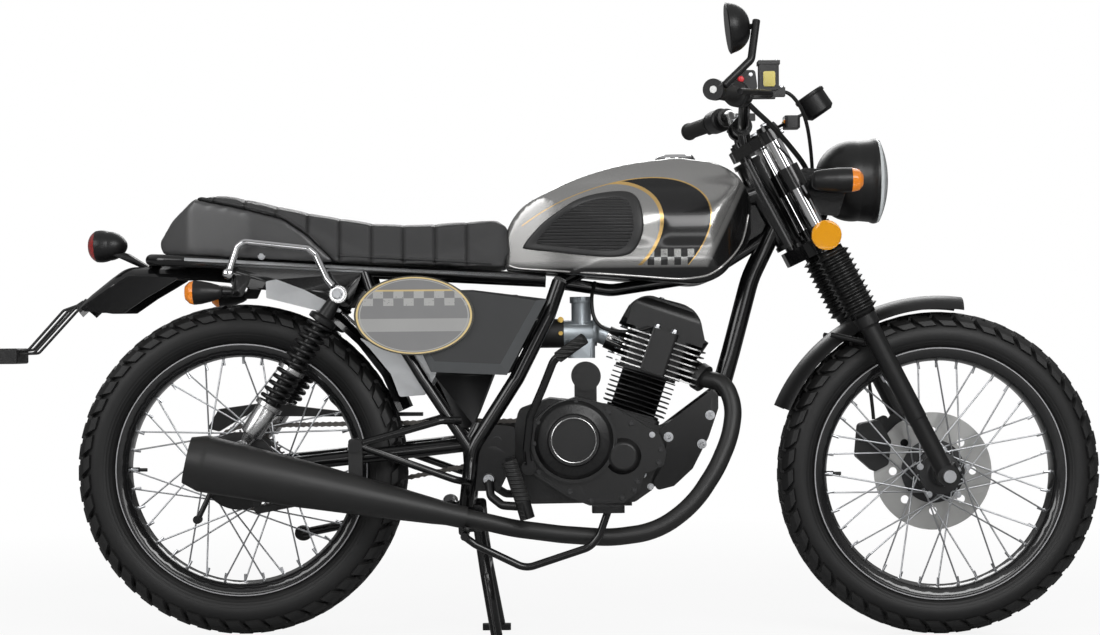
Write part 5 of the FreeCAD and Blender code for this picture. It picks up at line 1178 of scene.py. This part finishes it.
def make_chain():
    line = belt_line(SPROCKET, REAR_AXLE, 0.0305, 0.081)
    total = length_of(line + line[:1])
    pairs = round(total / 0.0254)
    pitch = total / pairs / 2
    even = evenly_spaced(line, pairs * 8)
    outer = chain_link(pitch, 0.0052, 0.0052, 0.0036, 0.0019, 0.0072, 10)
    inner = chain_link(pitch, 0.0036, 0.0050, 0.0034, 0.0042, 0.0034, 12)
    runs = [along(outer, even, pairs, LEFT, chain_steel, True),
            along(inner, even[4:] + even[:4], pairs, LEFT, chain_steel, True)]
    piece("drive_chain_links", joined("links", runs), "chassis", replaces=["drive_chain"])


make_hub_bolts()
make_chain()


# ---- engine and exhaust ----

AHEAD_OF_BORE = Vector((math.cos(LEAN), 0, -math.sin(LEAN)))
UP_BORE = Vector((math.sin(LEAN), 0, math.cos(LEAN)))
HOSE = ((89, -12, 684), (82, -30, 652), (86, -42, 616), (104, -46, 595), (138, -52, 588), (172, -56, 590),
        (193, -58, 596))
COVER_SCREWS = ((109, 438), (152, 416), (207, 366), (203, 342), (163, 307), (157, 291), (134, 276), (76, 271),
                (36, 288), (-22, 327))
STEP_SCREWS = ((-28, 380), (-21, 419), (4, 441), (49, 456))


def leaning(u, y, t):
    """A point in the cylinder's own axes, in mm: t up the bore from the cylinder's foot."""
    return CYLINDER_FOOT + (AHEAD_OF_BORE * u + LEFT * y + UP_BORE * t) / 1000


def fin_edge(edge):
    """A pick of upright faces where edge(u, y, t) is true, in the cylinder's axes with y as a distance."""
    def chosen(c, n):
        off = (c - CYLINDER_FOOT) * 1000
        return abs(n.dot(UP_BORE)) < 0.3 and edge(off.dot(AHEAD_OF_BORE), abs(off.y), off.dot(UP_BORE))
    return chosen


def make_engine():
    dressed("cylinder", "chassis", "black_engine", engine_black, dark_cast,
            pick=fin_edge(lambda u, y, t: abs(u) > 54 or y > 56))
    dressed("cylinder_head", "chassis", "black_engine", engine_black, bright_alloy, pick=fin_edge(
        lambda u, y, t: 85 < t < 159 and (abs(u - 12) > 76.5 or (y > 67 and not -19 < u < 37))))
    cover = shell_of(dressed("clutch_cover", "chassis", "black_engine", engine_black).data)
    turns = [k * math.pi / 30 for k in range(60)]
    line = [on_side(cover, 44 + 41.5 * math.cos(turn), 386 + 41.5 * math.sin(turn), -1) for turn in turns]
    piece("clutch_ring", wire(line, 0.0011, 8, closed=True, material=bright_alloy), "chassis")
    dressed("carburettor", "chassis", "cast_alloy", cast_alloy, rubber, pick=lambda c, _: c.x < 0.0275)
    hose = smooth_line([at(*place) for place in HOSE], 0.006)
    piece("breather_hose", wire(hose, 0.0036, 12, material=rubber), "chassis")
    bolts("carburettor_screws", "chassis",
          [(at(22, -26, z), RIGHT, 0.008, 0.006) for z in (612, 586)], brass_screw)
    bolts("cover_screws", "chassis",
          [(at(x, -126.2, z), RIGHT, 0.008, 0.005) for x, z in COVER_SCREWS]
          + [(at(x, -138.2, z), RIGHT, 0.008, 0.005) for x, z in STEP_SCREWS], dark_cast)
    rows = [(at(191, -126.2, 394), RIGHT, 0.008, 0.005)]
    rows += [(at(x, -72.2, z), RIGHT, 0.009, 0.006) for x, z in ((190, 293), (176, 316))]
    for s in (-1, 1):
        rows += [(at(x, s * 46, z), LEFT * s, 0.013, 0.008) for x, z in ((306, 427), (290, 372), (226, 386))]
        rows += [(leaning(u, s * 62, 168), UP_BORE, 0.011, 0.008) for u in (-8, 26)]
        rows += [(leaning(u, s * 9, 224), UP_BORE, 0.008, 0.005) for u in (-14, 24)]
    bolts("engine_bolts", "chassis", rows)


make_engine()


# ---- suspension and running gear ----

def spring(base, up, low, high, pitch):
    """The middle line of a coil from one height in mm to another, along up from base."""
    side = up.orthogonal().normalized()
    other, turns = up.cross(side), (high - low) / pitch
    count = int(turns * 24)
    line = []
    for i in range(count + 1):
        angle = 2 * math.pi * turns * i / count
        height = low + (high - low) * i / count
        line.append(base + up * height / 1000 + (side * math.cos(angle) + other * math.sin(angle)) * 0.0215)
    return line


def make_shocks():
    """A body, rod, collars, two coils and an eye at both ends, on each side; heights in mm from the foot."""
    top, foot = at(-394, 0, 662), REAR_AXLE + at(14, 0, 44)
    foot.y = 0
    up = (top - foot).normalized()
    long = (top - foot).length * 1000
    low, mid, high = 104.0, 176.0, long - 62
    turned = ((bright_alloy, [(0.1, 14), (10, 14), (14, 30), (20.5, 34), (21, 36), (21, 90), (20, 92)]),
              (bright_alloy, [(20, 90), (26.5, 93), (26.5, 101), (14, 103)]),
              (satin_black, [(12, 92), (12, long - 40)]),
              (bright_alloy, [(14, mid - 5), (26.5, mid - 4), (26.8, mid), (26.5, mid + 4), (14, mid + 5)]),
              (satin_black, [(14, high - 2), (26.5, high), (27, high + 2), (27, high + 9), (25, high + 11),
                             (16, high + 14), (12, long - 16), (0.1, long - 16)]))
    eye = [(0.0078, 0), (0.0165, 0), (0.017, 0.001), (0.017, 0.021), (0.0165, 0.022), (0.0078, 0.022),
           (0.0078, 0)]
    made = []
    for s in (-1, 1):
        base = foot + at(0, s * 124, 0)
        made += [lathe([(r / 1000, h / 1000) for r, h in profile], base, up, 40, material)
                 for material, profile in turned]
        made += [wire(spring(base, up, start, end, pitch), 0.0040, 10, material=satin_black)
                 for start, end, pitch in ((low, mid - 4, 14.0), (mid + 4, high, 14.2))]
        made += [lathe(eye, end + at(0, s * 124 - 11, 0), LEFT, 36, bright_alloy) for end in (foot, top)]
    piece("shock_finish", joined("shocks", made), "chassis", replaces=["rear_shocks"])


def peg_rubber(c, _):
    """The rubbers of the rider's pegs and of the passenger's."""
    rider = abs(c.y) > 0.1685 and c.x > -0.105 and (c.z > 0.276 or c.z < 0.253)
    return rider or (c.z > 0.396 and abs(c.y) > 0.15)


def make_running_gear():
    dressed("seat_frame", "chassis", "black_frame", gloss_black, pale_steel,
            pick=lambda c, _: 0.0972 < abs(c.y) < 0.0992 and -0.536 < c.x < -0.38)
    dressed("footpegs", "chassis", "black_rubber", satin_black, ribbed_rubber, pick=peg_rubber)
    dressed("kick_start_lever", "chassis", "black_frame", gloss_black, ribbed_rubber,
            pick=lambda c, _: c.z > 0.52 and (c - at(16, -187, 541)).dot(Vector((48, -21, 34))) > -0.00002)
    rows = []
    for s in (-1, 1):
        rows += [(at(-394, s * 149, 662), LEFT * s, 0.016, 0.006),
                 (REAR_AXLE + at(14, s * 142.4, 44), LEFT * s, 0.013, 0.006),
                 (at(-363, s * 151, 380), LEFT * s, 0.012, 0.005),
                 (at(-116, s * 120.6, 312), LEFT * s, 0.014, 0.006)]
    bolts("frame_bolts", "chassis", rows)


make_shocks()
make_running_gear()


# ---- tank ----

PAD_OUTLINE = ((-47, 751), (-16, 788), (18, 814), (53, 834), (94, 846), (142, 850), (166, 840), (176, 814),
               (178, 780), (169, 752), (152, 733), (121, 727), (73, 730), (18, 737), (-37, 744))
PAD_MIDDLE = (85, 787)
PAD_ROWS = [(1.0, -0.0005), (0.998, 0.002), (0.988, 0.0046), (0.965, 0.0061), (0.93, 0.0064), (0.83, 0.0064),
            (0.80, 0.0054), (0.78, 0.0050)] + [(0.78 - 0.078 * k, 0.0050) for k in range(1, 10)]
PAD_BORDER = 7                        # rows of the pad that are its raised, smooth border
TANK_LIP = ((-74, 715), (-56, 709), (0, 704), (80, 698), (162, 692), (240, 686), (275, 688), (300, 693),
            (322, 706), (348, 730), (366, 755), (376, 784), (381, 808))


def knee_pad(shell, side):
    """A pad that lies on the tank; each of its rows is the outline drawn in to a share of its size."""
    outline = smooth_line([at(x, 0, z) for x, z in PAD_OUTLINE], 0.004, closed=True)
    centre = at(PAD_MIDDLE[0], 0, PAD_MIDDLE[1])
    points = []
    for share, thick in PAD_ROWS:
        spots = [centre + (corner - centre) * share for corner in outline]
        points += [on_side(shell, spot.x * 1000, spot.z * 1000, side, thick) for spot in spots]
    points.append(on_side(shell, *PAD_MIDDLE, side, PAD_ROWS[-1][1]))
    count, last = len(outline), len(points) - 1
    rim = last - count
    faces = woven(len(PAD_ROWS), count) + [(rim + k, rim + (k + 1) % count, last) for k in range(count)]
    mesh = from_faces("knee_pad", points, faces if side > 0 else [face[::-1] for face in faces], pad_rubber)
    inner = mesh.attributes.new("middle", "FLOAT", "POINT")
    for k in range(len(points)):
        inner.data[k].value = 1.0 if k >= count * PAD_BORDER else 0.0
    return smooth(mesh, 50)


def make_tank():
    skin = settled("fuel_tank", 0.0045, 14, 0.705)
    piece("fuel_tank_finish", skin, "chassis", [tank_paint], ["fuel_tank"])
    shell = shell_of(skin)
    pads = joined("knee_pads", [knee_pad(shell, side) for side in (-1, 1)])
    piece("knee_pads_finish", pads, "chassis", replaces=["knee_pads"])
    lips = [wire(line_on_side(shell, TANK_LIP, side, 0.0002), 0.0021, 10, material=lip_silver)
            for side in (-1, 1)]
    piece("tank_lip", joined("lips", lips), "chassis")


# ---- seat ----

SEAT_CHANNELS = [FIRST_CHANNEL - CHANNEL_PITCH * k for k in range(9)]
UNDERSIDE = -0.6                      # how far down a face of the cover looks to be one that the pan holds
SEAT_EDGE = ((-411, 731), (-430, 755), (-452, 777), (-478, 796), (-504, 811), (-542, 823), (-579, 831),
             (-625, 841), (-655, 847))
SEAT_FOOT = [(x, 718 + (-100 - x) * 0.058) for x in (-108, -160, -240, -320, -396)]
FOAM_STEPS = 20


def puffed(mesh, most):
    """The cover swollen by its foam: cloth under pressure, its underside held, no point moved beyond most."""
    obj = placed("cover", mesh)
    normals = [v.normal.copy() for v in mesh.vertices]
    held = obj.vertex_groups.new(name="held")
    held.add([k for k, normal in enumerate(normals) if normal.z < UNDERSIDE], 1.0, "REPLACE")
    start = [vertex.co - normal * (0.003 if normal.z >= UNDERSIDE else 0)
             for vertex, normal in zip(mesh.vertices, normals)]
    for vertex, place in zip(mesh.vertices, start):
        vertex.co = place
    mesh.update()
    cloth = obj.modifiers.new("cover", "CLOTH")
    cloth.settings.quality = 6
    cloth.settings.vertex_group_mass = "held"
    cloth.settings.use_pressure = True
    cloth.settings.uniform_pressure_force = 4
    cloth.settings.effector_weights.gravity = 0
    cloth.point_cache.frame_start, cloth.point_cache.frame_end = 1, FOAM_STEPS
    for step in range(1, FOAM_STEPS + 1):
        bpy.context.scene.frame_set(step)
    swollen = plain_mesh(obj, "cover")
    obj.modifiers.clear()
    for vertex, moved, rest in zip(mesh.vertices, swollen.vertices, start):
        gone = moved.co - rest
        vertex.co = rest + (gone * (most / gone.length) if gone.length > most else gone)
    bpy.context.scene.frame_set(1)
    finer = obj.modifiers.new("finer", "SUBSURF")
    finer.levels = 1
    made = plain_mesh(obj, "cover")
    bpy.data.objects.remove(obj)
    return smooth(made, 0)


def drawn_in(cover):
    """Pulls the cover in along its sewn channels."""
    normals = [v.normal.copy() for v in cover.vertices]
    for vertex, normal in zip(cover.vertices, normals):
        near = min(abs(vertex.co.x - x) for x in SEAT_CHANNELS)
        if normal.z > UNDERSIDE:
            vertex.co = vertex.co - normal * (0.0014 * math.exp(-(near / 0.003) ** 2)
                                              + 0.0007 * math.exp(-(near / 0.014) ** 2))
    cover.update()


def stitch_line(shell, x, height):
    """Points over the cover from one lower edge to the other, in the plane at x."""
    line = []
    for degrees in range(-104, 105, 2):
        ray = Vector((0, math.sin(math.radians(degrees)), math.cos(math.radians(degrees))))
        place, normal = shell.ray_cast(Vector((x, 0, height)), ray)[:2]
        if place:
            line.append(place + normal * 0.0001)
    return line


def make_seat():
    cover = puffed(settled("seat", 0.006, 5), 0.004)
    drawn_in(cover)
    seat = piece("seat_finish", cover, "chassis", [leather], ["seat"])
    shell, low = shell_of(cover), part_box("seat")[0].z
    stitch = wire([at(x, 0, z) for x, z in ((-1.9, 0), (-1.0, 0.4), (1.0, 0.4), (1.9, 0))], 0.00042, 5)
    runs = []
    for x in SEAT_CHANNELS:
        line = stitch_line(shell, x, low + 0.055 + max(0.0, (-0.33 - x) * 0.28))
        runs.append(along(stitch, line, int(length_of(line) / 0.0055), (1, 0, 0), thread))
    sides = [[on_side(shell, x, z, side, 0.0006) for x, z in SEAT_EDGE] for side in (-1, 1)]
    right, left = [[place for place in line if place] for line in sides]
    back = [shell.ray_cast(Vector((-0.9, y, 0.8475)), Vector((1, 0, 0)))[0] for y in (-0.05, 0, 0.05)]
    edge = right + [place for place in back if place] + left[::-1]
    runs.append(wire(smooth_line(edge, 0.006), 0.0024, 8, material=leather))
    runs += [wire(line_on_side(shell, SEAT_FOOT, side, 0.0006), 0.0022, 8, material=leather)
             for side in (-1, 1)]
    piece("seat_seams", joined("seams", runs), "chassis")


# ---- cowl, covers and lamps behind ----

def make_body_panels():
    cowl = settled("tail_cowl", 0.005, 8)
    piece("tail_cowl_finish", cowl, "chassis", [cowl_paint], ["tail_cowl"])
    shell = shell_of(cowl)
    bolts("cowl_screws", "chassis",
          [(on_side(shell, -541, 736, side), LEFT * side, 0.010, 0.004) for side in (-1, 1)])
    # the cover's sloped edge faces take the lighter copy of its paint, a painted highlight
    dressed("side_covers", "chassis", "black_paint", cover_paint, slope_painted_highlight, crease=20,
            pick=lambda c, n: 0.1 < abs(n.y) < 0.97 and (n.x > 0.2 or n.z < -0.2))
    dressed("air_and_battery_boxes", "chassis", "black_plastic", plastic, pale_steel,
            pick=lambda c, _: c.x < -0.222 and 0.084 < abs(c.y) < 0.089)
    lamp_middle, behind = Vector((REAR_AXLE.x - 0.2235, 0, 0.763)), Vector((-1, 0, -0.03)).normalized()
    dressed("tail_lamp", "chassis", "red_lens", satin_black, red_lens, crease=24,
            pick=lambda c, _: (c - lamp_middle).dot(behind) > 0.0585)
    dressed("rear_indicators", "chassis", "amber_lens", satin_black, orange_lens, crease=24,
            pick=lambda c, _: c.x < -0.6595 and abs(c.y) > 0.125)
    dressed("plate_bracket", "chassis", "black_plastic", plastic, reflector_grey,
            pick=lambda c, _: c.x < -1.0535)
    bosses = [lathe([(0.0001, 0.006), (0.006, 0.0055), (0.0095, 0.003), (0.010, 0.0), (0.010, -0.001)],
                    at(-600, s * 132.4, 702), LEFT * s, 24, chrome) for s in (-1, 1)]
    piece("rail_bosses", joined("bosses", bosses), "chassis")


make_tank()
make_seat()
make_body_panels()
